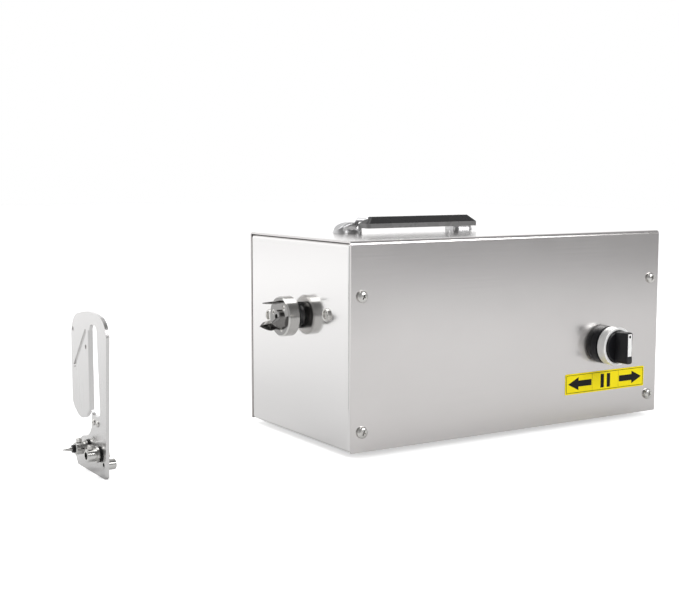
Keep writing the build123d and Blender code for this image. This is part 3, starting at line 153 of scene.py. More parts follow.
class ShaderGraph:
    """The node tree of one material or of the world, built a node at a time."""

    def __init__(self, owner: bpy.types.Material | bpy.types.World) -> None:
        """Clears the owner's nodes, ready for new ones."""
        self.owner = owner
        owner.use_nodes = True
        self.tree = owner.node_tree
        self.tree.nodes.clear()

    @classmethod
    def named(cls, name: str) -> ShaderGraph:
        """Starts a new material's node tree."""
        return cls(bpy.data.materials.new(name))

    def add(self, kind: str, inputs: dict | None = None, **settings: object) -> bpy.types.Node:
        """Adds a node.

        Args:
            kind: The node's type name, without its ShaderNode prefix.
            inputs: Values or output sockets, by input name or number.
            settings: The node's own options, such as a blend mode.

        Returns:
            The new node.
        """
        node = self.tree.nodes.new("ShaderNode" + kind)
        for option, value in settings.items():
            setattr(node, option, value)
        for key, value in (inputs or {}).items():
            if isinstance(value, Socket):
                self.tree.links.new(value, node.inputs[key])
            else:
                node.inputs[key].default_value = value
        return node

    def place(self, space: str = "Object") -> bpy.types.Node:
        """The shaded point's X, Y and Z outputs: the piece's own metres, unless another space is named."""
        return self.add("SeparateXYZ", {0: self.add("TexCoord").outputs[space]})

    def noise(self, scale: Iterable[float], detail: float = 3.0, seed: float = 0.0) -> Socket:
        """Noise over the piece's own metres, with a scale for each axis.

        Args:
            scale: Noise cells per metre along X, Y and Z.
            detail: How many finer layers the noise has.
            seed: A shift that sets one noise apart from another.

        Returns:
            The noise's grey value, from 0 to 1.
        """
        place = self.add("TexCoord").outputs["Object"]
        mapped = self.add("Mapping", {"Vector": place, "Scale": tuple(scale), "Location": (seed, seed, seed)})
        given = {"Vector": mapped.outputs[0], "Scale": 1.0, "Detail": detail, "Roughness": 0.6}
        return self.add("TexNoise", given).outputs["Fac"]

    def remap(
        self, value: Socket, low: float, high: float, start: float, end: float, curve: str = "LINEAR",
    ) -> Socket:
        """Stretches a grey value from the range low to high onto start to end, without going past either."""
        given = {"Value": value, "From Min": low, "From Max": high, "To Min": start, "To Max": end}
        return self.add("MapRange", given, interpolation_type=curve).outputs["Result"]

    def spread(self, noise: Socket, start: float = 0.0, end: float = 1.0) -> Socket:
        """Stretches the range that a noise mostly stays in onto start to end."""
        return self.remap(noise, NOISE_LOW, NOISE_HIGH, start, end)

    def mix(self, share: object, first: object, second: object) -> Socket:
        """Mixes two colours, or two colour outputs, by a share from 0 to 1."""
        given = {MIX_SHARE: share, COLOUR_FIRST: first, COLOUR_SECOND: second}
        return self.add("Mix", given, data_type="RGBA").outputs[COLOUR_RESULT]

    def bump(self, height: Socket, strength: float, distance: float, under: Socket | None = None) -> Socket:
        """A bumped normal from a grey height, over another bumped normal where one is given."""
        given = {"Height": height, "Strength": strength, "Distance": distance}
        if under is not None:
            given["Normal"] = under
        return self.add("Bump", given).outputs["Normal"]

    def surface(
        self, tone: Socket, rough: Socket, normal: Socket, metallic: float = 1.0, gloss: float = 0.5,
    ) -> bpy.types.Material:
        """Ends the tree with one surface.

        Args:
            tone: The colour.
            rough: The roughness.
            normal: The bumped normal.
            metallic: 1 for bare metal and 0 for plastic, film or paint.
            gloss: How strongly a surface that isn't metal mirrors.

        Returns:
            The finished material.
        """
        shader = self.add("BsdfPrincipled", {
            "Base Color": tone,
            "Roughness": rough,
            "Normal": normal,
            "Metallic": metallic,
            "Specular IOR Level": gloss,
        })
        self.add("OutputMaterial", {"Surface": shader.outputs[0]})
        return self.owner


def rgba(colour: Colour, gain: float = 1.0) -> tuple[float, float, float, float]:
    """A colour with its brightness changed, as four numbers."""
    return (colour[0] * gain, colour[1] * gain, colour[2] * gain, 1.0)


@dataclass(frozen=True)
class Split:
    """A second colour past a place along one axis, or before that place where the width is negative."""

    axis: str
    start: float
    colour: Colour
    width: float = 0.1 * MM

    def over(self, graph: ShaderGraph, tone: Socket) -> Socket:
        """Puts the second colour over a tone.

        Args:
            graph: The material's node tree.
            tone: The first colour.

        Returns:
            The colour output of both.
        """
        along = graph.place().outputs[self.axis]
        share = graph.remap(along, self.start, self.start + self.width, 0.0, 1.0)
        return graph.mix(share, tone, rgba(self.colour))


@dataclass(frozen=True)
class BrushedMetal:
    """Sheet or turned metal with a fine directional grain, faint smudges and a few stray scratches."""

    name: str
    colour: Colour
    roughness: float = 0.3
    grain: Grain = Grain.ALONG_X
    contrast: float = 0.05
    relief: float = 0.02
    smudge: float = 0.04
    splits: tuple[Split, ...] = ()

    def build(self) -> bpy.types.Material:
        """Returns the finish's material."""
        graph = ShaderGraph.named(self.name)
        streak = graph.noise(self.grain.value, detail=4.0)
        fine_scale = tuple(scale * 2.6 for scale in self.grain.value)
        fine = graph.noise(fine_scale, detail=2.0, seed=3.7)
        patch = graph.noise((14.0, 14.0, 14.0), detail=5.0, seed=11.0)
        scratch = graph.noise(tuple(scale * 0.7 + 60.0 for scale in self.grain.value), detail=1.0, seed=23.0)
        tone = graph.mix(graph.spread(streak), rgba(self.colour, 1 - self.contrast), rgba(self.colour))
        worn = graph.remap(scratch, 0.72, 0.78, 0.0, 0.5)
        tone = graph.mix(worn, tone, rgba(self.colour, 1.0 + self.contrast / 2))
        for split in self.splits:
            tone = split.over(graph, tone)
        low = self.roughness - self.smudge / 2
        rough = graph.spread(patch, low, low + self.smudge)
        uneven = graph.spread(streak, -0.012, 0.012)
        rough = graph.add("Math", {0: rough, 1: uneven}, operation="ADD").outputs[0]
        normal = graph.bump(fine, self.relief, 0.1 * MM)
        normal = graph.bump(streak, self.relief, 0.2 * MM, normal)
        return graph.surface(tone, rough, normal)


@dataclass(frozen=True)
class PolishedMetal:
    """Plated or polished metal with faint wear and a slightly uneven face."""

    name: str
    colour: Colour
    roughness: float = 0.1

    def build(self) -> bpy.types.Material:
        """Returns the finish's material."""
        graph = ShaderGraph.named(self.name)
        patch = graph.noise((45.0, 45.0, 45.0), detail=4.0)
        fine = graph.noise((900.0, 900.0, 900.0), detail=2.0, seed=5.0)
        wear = graph.remap(patch, 0.55, 0.75, 0.0, 0.6)
        tone = graph.mix(wear, rgba(self.colour), rgba(self.colour, 0.86))
        rough = graph.spread(patch, self.roughness * 0.7, self.roughness * 1.6)
        return graph.surface(tone, rough, graph.bump(fine, 0.04, 0.05 * MM))


@dataclass(frozen=True)
class CastMetal:
    """Cast or painted metal with a pebbled skin and small dents."""

    name: str
    colour: Colour
    metallic: float = 1.0
    roughness: float = 0.5
    grain: float = 700.0

    def build(self) -> bpy.types.Material:
        """Returns the finish's material."""
        graph = ShaderGraph.named(self.name)
        pebble = graph.noise((self.grain, self.grain, self.grain), detail=3.0)
        patch = graph.noise((30.0, 30.0, 30.0), detail=4.0, seed=7.0)
        tone = graph.mix(graph.spread(patch), rgba(self.colour, 0.85), rgba(self.colour, 1.08))
        rough = graph.spread(patch, self.roughness - 0.08, self.roughness + 0.1)
        return graph.surface(tone, rough, graph.bump(pebble, 0.25, 0.2 * MM), self.metallic)


@dataclass(frozen=True)
class MouldedPlastic:
    """Moulded plastic with a fine spark-eroded texture, paler where it is handled."""

    name: str
    colour: Colour
    roughness: float = 0.42
    grain: float = 2200.0
    relief: float = 0.2
    rubbed: float = 1.5
    gloss: float = 0.5
    splits: tuple[Split, ...] = ()

    def build(self) -> bpy.types.Material:
        """Returns the finish's material."""
        graph = ShaderGraph.named(self.name)
        grit = graph.noise((self.grain, self.grain, self.grain), detail=2.0)
        patch = graph.noise((60.0, 60.0, 60.0), detail=5.0, seed=2.0)
        handled = graph.remap(patch, 0.45, 0.8, 0.0, 1.0)
        tone = graph.mix(handled, rgba(self.colour), rgba(self.colour, self.rubbed))
        for split in self.splits:
            tone = split.over(graph, tone)
        rough = graph.spread(patch, self.roughness - 0.07, self.roughness + 0.07)
        normal = graph.bump(grit, self.relief, 0.08 * MM)
        return graph.surface(tone, rough, normal, metallic=0.0, gloss=self.gloss)


@dataclass(frozen=True)
class PrintedFilm:
    """A glossy printed film with faint waves from being stuck down."""

    name: str
    colour: Colour
    roughness: float = 0.3
    gloss: float = 0.2

    def build(self) -> bpy.types.Material:
        """Returns the finish's material."""
        graph = ShaderGraph.named(self.name)
        print_dots = graph.noise((3200.0, 3200.0, 3200.0), detail=1.0)
        wave = graph.noise((120.0, 120.0, 120.0), detail=1.0, seed=9.0)
        tone = graph.mix(graph.spread(print_dots), rgba(self.colour, 0.94), rgba(self.colour))
        rough = graph.spread(wave, self.roughness - 0.05, self.roughness + 0.08)
        normal = graph.bump(wave, 0.1, 0.2 * MM)
        return graph.surface(tone, rough, normal, metallic=0.0, gloss=self.gloss)


@dataclass(frozen=True)
class LayeredMetal:
    """Stacked laminations or wound wire: thin bands across one axis."""

    name: str
    colour: Colour
    bands: float = 2000.0
    roughness: float = 0.45

    def build(self) -> bpy.types.Material:
        """Returns the finish's material."""
        graph = ShaderGraph.named(self.name)
        band = graph.noise((self.bands, 25.0, 25.0), detail=1.0)
        patch = graph.noise((90.0, 90.0, 90.0), detail=4.0, seed=4.0)
        banded = graph.remap(band, 0.4, 0.6, 0.0, 1.0)
        tone = graph.mix(banded, rgba(self.colour, 0.6), rgba(self.colour, 1.1))
        rough = graph.spread(patch, self.roughness - 0.1, self.roughness + 0.1)
        return graph.surface(tone, rough, graph.bump(band, 0.4, 0.3 * MM))


@cache
def made(finish: object) -> bpy.types.Material:
    """The material of a finish, built once however often it is used."""
    return finish.build()


STEEL = (0.63, 0.612, 0.605)
BRIGHT_STEEL = (0.75, 0.74, 0.735)
TURNED = (0.62, 0.615, 0.6)
GROUND_FACE = (0.26, 0.255, 0.25)
# Painted shade: the near-black that stands for the shade in the gap between the chuck and the end plate.
NECK_PAINTED_SHADE = (0.03, 0.03, 0.03)
BLACK = (0.01, 0.01, 0.012)
# Where the chuck and the grip change colour: X of the chuck's back, past which the neck is painted with shade,
# and of its face, and Z of the grip's shoulder, above which the grip is painted with shade.
CHUCK_BACK = -65.0 * MM
CHUCK_FACE = -74.95 * MM
GRIP_SHOULDER = 161.8 * MM
COVER_STEEL = BrushedMetal("cover_steel", STEEL, roughness=0.2, grain=Grain.ALONG_X)
END_STEEL = BrushedMetal("end_steel", BRIGHT_STEEL, 0.14, Grain.ALONG_Y, contrast=0.02, relief=0.008)
KNIFE_STEEL = BrushedMetal("knife_steel", (0.64, 0.632, 0.628), roughness=0.26, grain=Grain.ALONG_Z)
TURNED_STEEL = BrushedMetal("turned_steel", TURNED, 0.14, Grain.TURNED, relief=0.03)
CHUCK_STEEL = BrushedMetal(
    "chuck_steel", TURNED, 0.14, Grain.TURNED, relief=0.03, splits=(
        # Past the chuck's back, its neck is painted near-black as painted shade.
        Split("X", CHUCK_BACK, NECK_PAINTED_SHADE),
        Split("X", CHUCK_FACE, GROUND_FACE, width=-0.1 * MM),
    ),
)
SCREW_STEEL = PolishedMetal("screw_steel", (0.62, 0.61, 0.59), roughness=0.2)
CHROME = PolishedMetal("bright_chrome", (0.78, 0.78, 0.79), roughness=0.07)
SATIN_CHROME = PolishedMetal("satin_chrome", (0.5, 0.5, 0.505), roughness=0.3)
SATIN_BEZEL = CastMetal("satin_bezel", (0.93, 0.93, 0.92), metallic=0.35, roughness=0.3, grain=2500.0)
BLACK_PLASTIC = MouldedPlastic("black_plastic", BLACK, roughness=0.36, gloss=0.35)
GRIP_PLASTIC_TOP_SHADE = MouldedPlastic(
    "grip_plastic_top_shade", (0.2, 0.2, 0.2), roughness=0.26, grain=1500.0, relief=0.08, rubbed=1.1,
    # Above the grip's shoulder, its upper facet is painted near-black: painted shade on the same plastic.
    splits=(Split("Z", GRIP_SHOULDER, (0.018, 0.018, 0.019)),),
)
BLACK_RUBBER = MouldedPlastic("black_rubber", (0.007, 0.007, 0.007), 0.6, grain=900.0, relief=0.35, gloss=0.3)
WHITE_INLAY = MouldedPlastic("white_inlay", (0.95, 0.95, 0.94), roughness=0.35, rubbed=0.96)
YELLOW_FILM = PrintedFilm("yellow_film", (1.0, 0.83, 0.002), roughness=0.5)
BLACK_INK = PrintedFilm("black_ink", (0.004, 0.004, 0.004), roughness=0.5)

SLOT_FINISHES = {
    "case_steel": COVER_STEEL,
    "fastener_steel": SCREW_STEEL,
    "foot_rubber": BLACK_RUBBER,
    "chuck_steel": CHUCK_STEEL,
    "shaft_steel": BrushedMetal("shaft_steel", (0.5, 0.5, 0.5), roughness=0.34, grain=Grain.TURNED),
    "housing_alloy": CastMetal("housing_alloy", (0.55, 0.56, 0.57)),
    "bearing_steel": PolishedMetal("bearing_steel", (0.66, 0.66, 0.68), roughness=0.12),
    "bush_bronze": BrushedMetal("bush_bronze", (0.55, 0.33, 0.13), roughness=0.38, grain=Grain.TURNED),
    "motor_paint": CastMetal("motor_paint", (0.045, 0.055, 0.06), metallic=0.0, roughness=0.45, grain=1100.0),
    "core_steel": LayeredMetal("core_steel", (0.28, 0.28, 0.29)),
    "winding_copper": LayeredMetal("winding_copper", (0.6, 0.22, 0.08), bands=1400.0, roughness=0.35),
    "black_plastic": BLACK_PLASTIC,
    "bezel_chrome": SATIN_BEZEL,
    "marker_white": WHITE_INLAY,
    "label_yellow": YELLOW_FILM,
    "handle_chrome": CHROME,
    "bracket_chrome": SATIN_CHROME,
    "contact_brass": PolishedMetal("contact_brass", (0.72, 0.55, 0.25), roughness=0.25),
    "knife_steel": KNIFE_STEEL,
    "knife_rubber": BLACK_RUBBER,
}
NODE_FINISHES = {
    "end_plate_left": END_STEEL,
    "end_plate_right": END_STEEL,
    "handle_grip": GRIP_PLASTIC_TOP_SHADE,
    "knife_sleeves": TURNED_STEEL,
    "pointed_pin": TURNED_STEEL,
    "rear_standoff": TURNED_STEEL,
}


# ------------------------------------------------------------------ shapes


@dataclass
class Shape:
    """A piece's points and faces before it becomes an object."""

    points: list[Vector] = field(default_factory=list)
    faces: list[tuple[int, ...]] = field(default_factory=list)

    def moved(self, matrix: Matrix) -> Shape:
        """Returns a copy of the shape, placed by a matrix."""
        return Shape([matrix @ point for point in self.points], list(self.faces))

    def plus(self, other: Shape) -> Shape:
        """Returns this shape and another as one."""
        start = len(self.points)
        moved_faces = [tuple(index + start for index in face) for face in other.faces]
        return Shape(self.points + other.points, self.faces + moved_faces)

    def object(self, name: str, finish: object, smooth_degrees: float = 35.0) -> bpy.types.Object:
        """Makes the shape an object in the scene.

        Args:
            name: The piece's name.
            finish: The finish it wears.
            smooth_degrees: Edges sharper than this stay sharp.

        Returns:
            The new object.
        """
        mesh = bpy.data.meshes.new(name)
        mesh.from_pydata([tuple(point) for point in self.points], [], self.faces)
        mesh.validate()
        mesh.polygons.foreach_set("use_smooth", [True] * len(mesh.polygons))
        mesh.set_sharp_from_angle(angle=math.radians(smooth_degrees))
        mesh.materials.append(made(finish))
        piece = bpy.data.objects.new(name, mesh)
        bpy.context.scene.collection.objects.link(piece)
        return piece


def joined(shapes: Iterable[Shape]) -> Shape:
    """Several shapes as one."""
    whole = Shape()
    for shape in shapes:
        whole = whole.plus(shape)
    return whole


def lathe(profile: list[Point], segments: int = 48) -> Shape:
    """Turns a profile round Z.

    Args:
        profile: Radius and height at each corner, from one end of the piece to the other. An end off the
            axis is closed by a flat face.
        segments: How many sides the turning has.

    Returns:
        The turned shape.
    """
    shape = Shape()
    rings = []
    for radius, height in profile:
        if radius == 0:
            rings.append([len(shape.points)] * segments)
            shape.points.append(Vector((0, 0, height)))
            continue
        rings.append(list(range(len(shape.points), len(shape.points) + segments)))
        for step in range(segments):
            turn = 2 * math.pi * step / segments
            shape.points.append(Vector((radius * math.cos(turn), radius * math.sin(turn), height)))
    for low, high in zip(rings, rings[1:]):
        for step in range(segments):
            after = (step + 1) % segments
            corners = (low[step], low[after], high[after], high[step])
            shape.faces.append(tuple(dict.fromkeys(corners)))
    if profile[0][0] > 0:
        shape.faces.append(tuple(reversed(rings[0])))
    if profile[-1][0] > 0:
        shape.faces.append(tuple(rings[-1]))
    return shape


def prism(outline: list[Point], low: float, high: float, edge: float = 0.0) -> Shape:
    """Raises a flat outline along Z, with its upper edge bevelled where asked.

    Args:
        outline: The corners, counter-clockwise.
        low: Height of the lower face.
        high: Height of the upper face.
        edge: Width of the bevel round the upper face.

    Returns:
        The raised shape.
    """
    count = len(outline)
    centre = Vector((sum(x for x, y in outline) / count, sum(y for x, y in outline) / count))
    levels = [(low, 0.0)]
    bevel_steps = 3 if edge else 0
    for step in range(bevel_steps + 1):
        turn = step / bevel_steps * math.pi / 2 if edge else 0.0
        levels.append((high - edge * (1 - math.sin(turn)), edge * (1 - math.cos(turn))))
    shape = Shape()
    for height, inset in levels:
        for x, y in outline:
            towards = centre - Vector((x, y))
            place = Vector((x, y)) + towards.normalized() * min(inset, towards.length)
            shape.points.append(Vector((place.x, place.y, height)))
    for row in range(len(levels) - 1):
        for step in range(count):
            after = (step + 1) % count
            low_left = row * count + step
            low_right = row * count + after
            shape.faces.append((low_left, low_right, low_right + count, low_left + count))
    shape.faces.append(tuple(reversed(range(count))))
    shape.faces.append(tuple(range((len(levels) - 1) * count, len(levels) * count)))
    return shape


def rectangle(width: float, height: float, centre: Point = (0.0, 0.0)) -> list[Point]:
    """The four corners of a rectangle, counter-clockwise."""
    x, y = centre
    return [
        (x - width / 2, y - height / 2),
        (x + width / 2, y - height / 2),
        (x + width / 2, y + height / 2),
        (x - width / 2, y + height / 2),
    ]


def cut(base: Shape, tool: Shape) -> Shape:
    """Takes one closed shape out of another."""
    base_piece = base.object("cut_base", SCREW_STEEL)
    tool_piece = tool.object("cut_tool", SCREW_STEEL)
    modifier = base_piece.modifiers.new("cut", "BOOLEAN")
    modifier.operation = "DIFFERENCE"
    modifier.object = tool_piece
    bpy.context.view_layer.update()
    mesh = base_piece.evaluated_get(bpy.context.evaluated_depsgraph_get()).to_mesh()
    points = [vertex.co.copy() for vertex in mesh.vertices]
    faces = [tuple(polygon.vertices) for polygon in mesh.polygons]
    bpy.data.objects.remove(base_piece)
    bpy.data.objects.remove(tool_piece)
    return Shape(points, faces)


@dataclass(frozen=True)
class Screw:
    """A machine screw that stands on a face, head outwards.

    The sizes come first. The shares after them are of the head's height, the shank's radius or the recess.
    """

    head_radius: float
    head_height: float
    shank_radius: float
    shank_length: float
    recess: float
    sides: int = 4
    domed: bool = True
    pitch: float = 0.7 * MM
    rim: float = 0.3
    bevel: float = 0.12
    thread_root: float = 0.82
    point: float = 0.8
    recess_floor: float = 0.35
    recess_top: float = 1.3
    arm_width: float = 0.4
    arm_corner: float = 1.3
    arm_taper: float = 0.45
    dome_steps: int = 8
    dome_sweep: float = 0.999
    dome_power: float = 0.75

    def head_profile(self) -> list[Point]:
        """The head's outline from its rim to the top of its middle, as radius and height."""
        if not self.domed:
            bevel = self.head_height * self.bevel
            return [
                (self.head_radius, 0.0),
                (self.head_radius, self.head_height - bevel),
                (self.head_radius - bevel, self.head_height),
                (0.0, self.head_height),
            ]
        rim = self.head_height * self.rim
        dome = [(self.head_radius, 0.0)]
        for step in range(self.dome_steps):
            turn = step / self.dome_steps * math.pi / 2
            height = rim + (self.head_height - rim) * math.sin(turn)
            share = math.cos(turn * self.dome_sweep) ** self.dome_power
            dome.append((self.head_radius * share, height))
        dome.append((0.0, self.head_height))
        return dome

    def shank_profile(self) -> list[Point]:
        """The shank's threaded outline, from its point to the head."""
        outline = [(0.0, -self.shank_length), (self.shank_radius * self.point, -self.shank_length)]
        turns = int(self.shank_length / self.pitch)
        for step in range(turns):
            height = -self.shank_length + self.pitch * (step + 0.5)
            outline.append((self.shank_radius, height))
            outline.append((self.shank_radius * self.thread_root, height + self.pitch / 2))
        outline.append((self.shank_radius * self.thread_root, 0.0))
        return outline

    def recess_tool(self) -> Shape:
        """What is cut from the head: a cross for four sides, or a hexagon for six."""
        low = self.head_height * self.recess_floor
        high = self.head_height * self.recess_top
        if self.sides == 6:
            corners = [
                (self.recess * math.cos(step * math.pi / 3), self.recess * math.sin(step * math.pi / 3))
                for step in range(6)
            ]
            return prism(corners, low, high)
        half = self.recess * self.arm_width / 2
        corner = half * self.arm_corner
        arm = [(self.recess, -half), (self.recess, half), (corner, corner)]
        cross = []
        for _turn in range(4):
            cross += arm
            arm = [(-y, x) for x, y in arm]
        tool = prism(cross, low, high)
        # The lower face's points come first, and are drawn in so that the cross narrows towards its floor.
        for index in range(len(cross)):
            tool.points[index].x *= self.arm_taper
            tool.points[index].y *= self.arm_taper
        return tool

    def shape(self) -> Shape:
        """Returns the screw with its recess cut, standing on z = 0."""
        whole = lathe(self.shank_profile() + self.head_profile(), segments=36)
        return cut(whole, self.recess_tool())


# ------------------------------------------------------------------ sub-assemblies


class Dressed:
    """A sub-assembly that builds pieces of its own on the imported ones."""

    def keep(self, piece: bpy.types.Object, body: str, slot: str, *stands_for: str) -> None:
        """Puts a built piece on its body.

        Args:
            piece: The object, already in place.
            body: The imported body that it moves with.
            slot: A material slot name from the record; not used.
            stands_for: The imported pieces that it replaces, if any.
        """
        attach(piece, body)
        if stands_for:
            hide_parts(*stands_for)
        LOG.info("%s rides on %s", piece.name, body)


@dataclass
class Packed:
    """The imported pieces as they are, dressed by material slot."""

    frame: dict

    def build(self) -> None:
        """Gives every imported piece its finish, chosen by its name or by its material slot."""
        for row in self.frame["record"]["subparts"]:
            name = row["node"]
            node = self.frame["nodes"][name]
            finish = NODE_FINISHES.get(name, SLOT_FINISHES[row["material_slot"]])
            node.data.materials.clear()
            node.data.materials.append(made(finish))
            LOG.info("%s wears %s", name, finish.name)


@dataclass
class Case(Dressed):
    """The sheet metal case: the screws that hold its cover, and the two bolts beside the chuck."""

    screw_inset: float = 9.0 * MM
    screw_low: float = 14.5 * MM
    screw_high: float = 111.0 * MM
    screw: Screw = Screw(4.3 * MM, 2.8 * MM, 2.0 * MM, 7.3 * MM, 2.5 * MM)
    bolt_spacing: float = 86.0 * MM
    bolt_tilt: float = 6.0
    bolt_rim: float = 4.8 * MM
    bolt_height: float = 1.8 * MM
    bolt_dish: float = 3.2 * MM
    bolt_shank: float = 2.5 * MM
    bolt_length: float = 10.2 * MM

    def bolts(self) -> None:
        """Builds the two low-headed bolts beside the chuck, each dished in its middle."""
        low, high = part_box("chuck_body")
        panel_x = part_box("cover")[0].x
        head = lathe([
            (0.0, -self.bolt_length),
            (self.bolt_shank, -self.bolt_length),
            (self.bolt_shank, 0.0),
            (self.bolt_rim, 0.0),
            (self.bolt_rim, self.bolt_height * 0.55),
            (self.bolt_rim * 0.93, self.bolt_height * 0.88),
            (self.bolt_rim * 0.82, self.bolt_height),
            (self.bolt_dish, self.bolt_height * 0.9),
            (self.bolt_dish * 0.92, self.bolt_height * 0.3),
            (self.bolt_dish * 0.5, self.bolt_height * 0.22),
            (0.0, self.bolt_height * 0.2),
        ], segments=48)
        copies = []
        for turn in (180.0 - self.bolt_tilt, -self.bolt_tilt):
            y = (low.y + high.y) / 2 + self.bolt_spacing / 2 * math.cos(math.radians(turn))
            z = (low.z + high.z) / 2 + self.bolt_spacing / 2 * math.sin(math.radians(turn))
            copies.append(head.moved(Facing.LEFT.at((panel_x, y, z))))
        heads = joined(copies).object("dished_bolt_heads", SCREW_STEEL)
        self.keep(heads, "machine", "fastener_steel", "gearbox_bolts")

    def build(self) -> None:
        """Builds the eight cover screws as one piece, and the two bolts."""
        self.bolts()
        low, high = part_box("cover")
        shape = self.screw.shape()
        copies = []
        for facing, y in ((Facing.FRONT, low.y), (Facing.BACK, high.y)):
            for x in (low.x + self.screw_inset, high.x - self.screw_inset):
                for z in (low.z + self.screw_low, low.z + self.screw_high):
                    # Each cross stands at an angle of its own, as screws do that were driven by hand.
                    turn = math.radians(17.0 + 2900.0 * x + 900.0 * z)
                    copies.append(shape.moved(facing.at((x, y, z)) @ Matrix.Rotation(turn, 4, "Z")))
        screws = joined(copies).object("cover_screw_heads", SCREW_STEEL)
        self.keep(screws, "machine", "fastener_steel", "cover_screws")


@dataclass
class Chuck(Dressed):
    """The chuck's three prongs, each ground to a point with thin edges."""

    prong_count: int = 3
    prong_start: float = 75.0
    pitch_radius: float = 10.6 * MM
    thickness: float = 1.8 * MM
    neck: float = 6.5 * MM
    width: float = 9.5 * MM
    shoulder: float = 4.0 * MM
    reach: float = 12.5 * MM
    root: float = 4.0 * MM
    edge: float = 0.25 * MM
    tip_curve: float = 1.8
    tip_thickness: float = 0.4
    tip_half_width: float = 0.02 * MM
    face_curve: float = 2.4
    row_curve: float = 0.9
    rows: int = 34
    columns: int = 13

    def half_width(self, height: float) -> float:
        """Half a prong's width at a height above the chuck's face."""
        if height <= 0:
            return self.neck / 2
        if height <= self.shoulder:
            return self.neck / 2 + (self.width - self.neck) / 2 * height / self.shoulder
        share = (height - self.shoulder) / (self.reach - self.shoulder)
        return self.width / 2 * (1 - share**self.tip_curve)

    def prong(self) -> Shape:
        """Returns one prong: its x across, its y out of the chuck's face, its z through its thickness."""
        rows, columns = self.rows, self.columns
        shape = Shape()
        for side in (1, -1):
            for row in range(rows):
                height = -self.root + (self.root + self.reach) * (row / (rows - 1)) ** self.row_curve
                half = max(self.half_width(height), self.tip_half_width)
                grind = min(1.0, max(0.0, height / self.shoulder))
                tip = min(1.0, (self.reach - height) / (self.reach - self.shoulder))
                for column in range(columns):
                    across = -1 + 2 * column / (columns - 1)
                    fullness = self.tip_thickness + (1 - self.tip_thickness) * tip
                    swell = (1 - abs(across) ** self.face_curve) * fullness
                    ground = self.edge + (self.thickness - self.edge) * swell
                    thick = self.thickness * (1 - grind) + ground * grind
                    shape.points.append(Vector((across * half, height, side * thick / 2)))
        sheet = rows * columns
        for row in range(rows - 1):
            for column in range(columns - 1):
                corner = row * columns + column
                quad = (corner, corner + 1, corner + columns + 1, corner + columns)
                shape.faces.append(quad)
                shape.faces.append(tuple(index + sheet for index in reversed(quad)))
        border = list(range(columns))
        border += [row * columns + columns - 1 for row in range(1, rows)]
        border += [(rows - 1) * columns + column for column in reversed(range(columns - 1))]
        border += [row * columns for row in reversed(range(1, rows - 1))]
        for here, after in zip(border, border[1:] + border[:1]):
            shape.faces.append((after, here, here + sheet, after + sheet))
        return shape

    def build(self) -> None:
        """Builds the prongs as one piece, evenly round the chuck's face."""
        low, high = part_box("chuck_body")
        axis = Vector(((low.x + high.x) / 2, (low.y + high.y) / 2, (low.z + high.z) / 2))
        leaf = self.prong()
        copies = []
        for step in range(self.prong_count):
            turn = math.radians(self.prong_start + step * 360 / self.prong_count)
            outwards = Vector((0, math.cos(turn), math.sin(turn)))
            around = Vector((0, math.sin(turn), -math.cos(turn)))
            frame = Matrix([around, (-1, 0, 0), outwards]).transposed().to_4x4()
            place = Vector((low.x, axis.y, axis.z)) + outwards * self.pitch_radius
            copies.append(leaf.moved(Matrix.Translation(place) @ frame))
        prongs = joined(copies).object("ground_prongs", CHUCK_STEEL, smooth_degrees=30.0)
        self.keep(prongs, "spindle", "chuck_steel", "chuck_prongs")


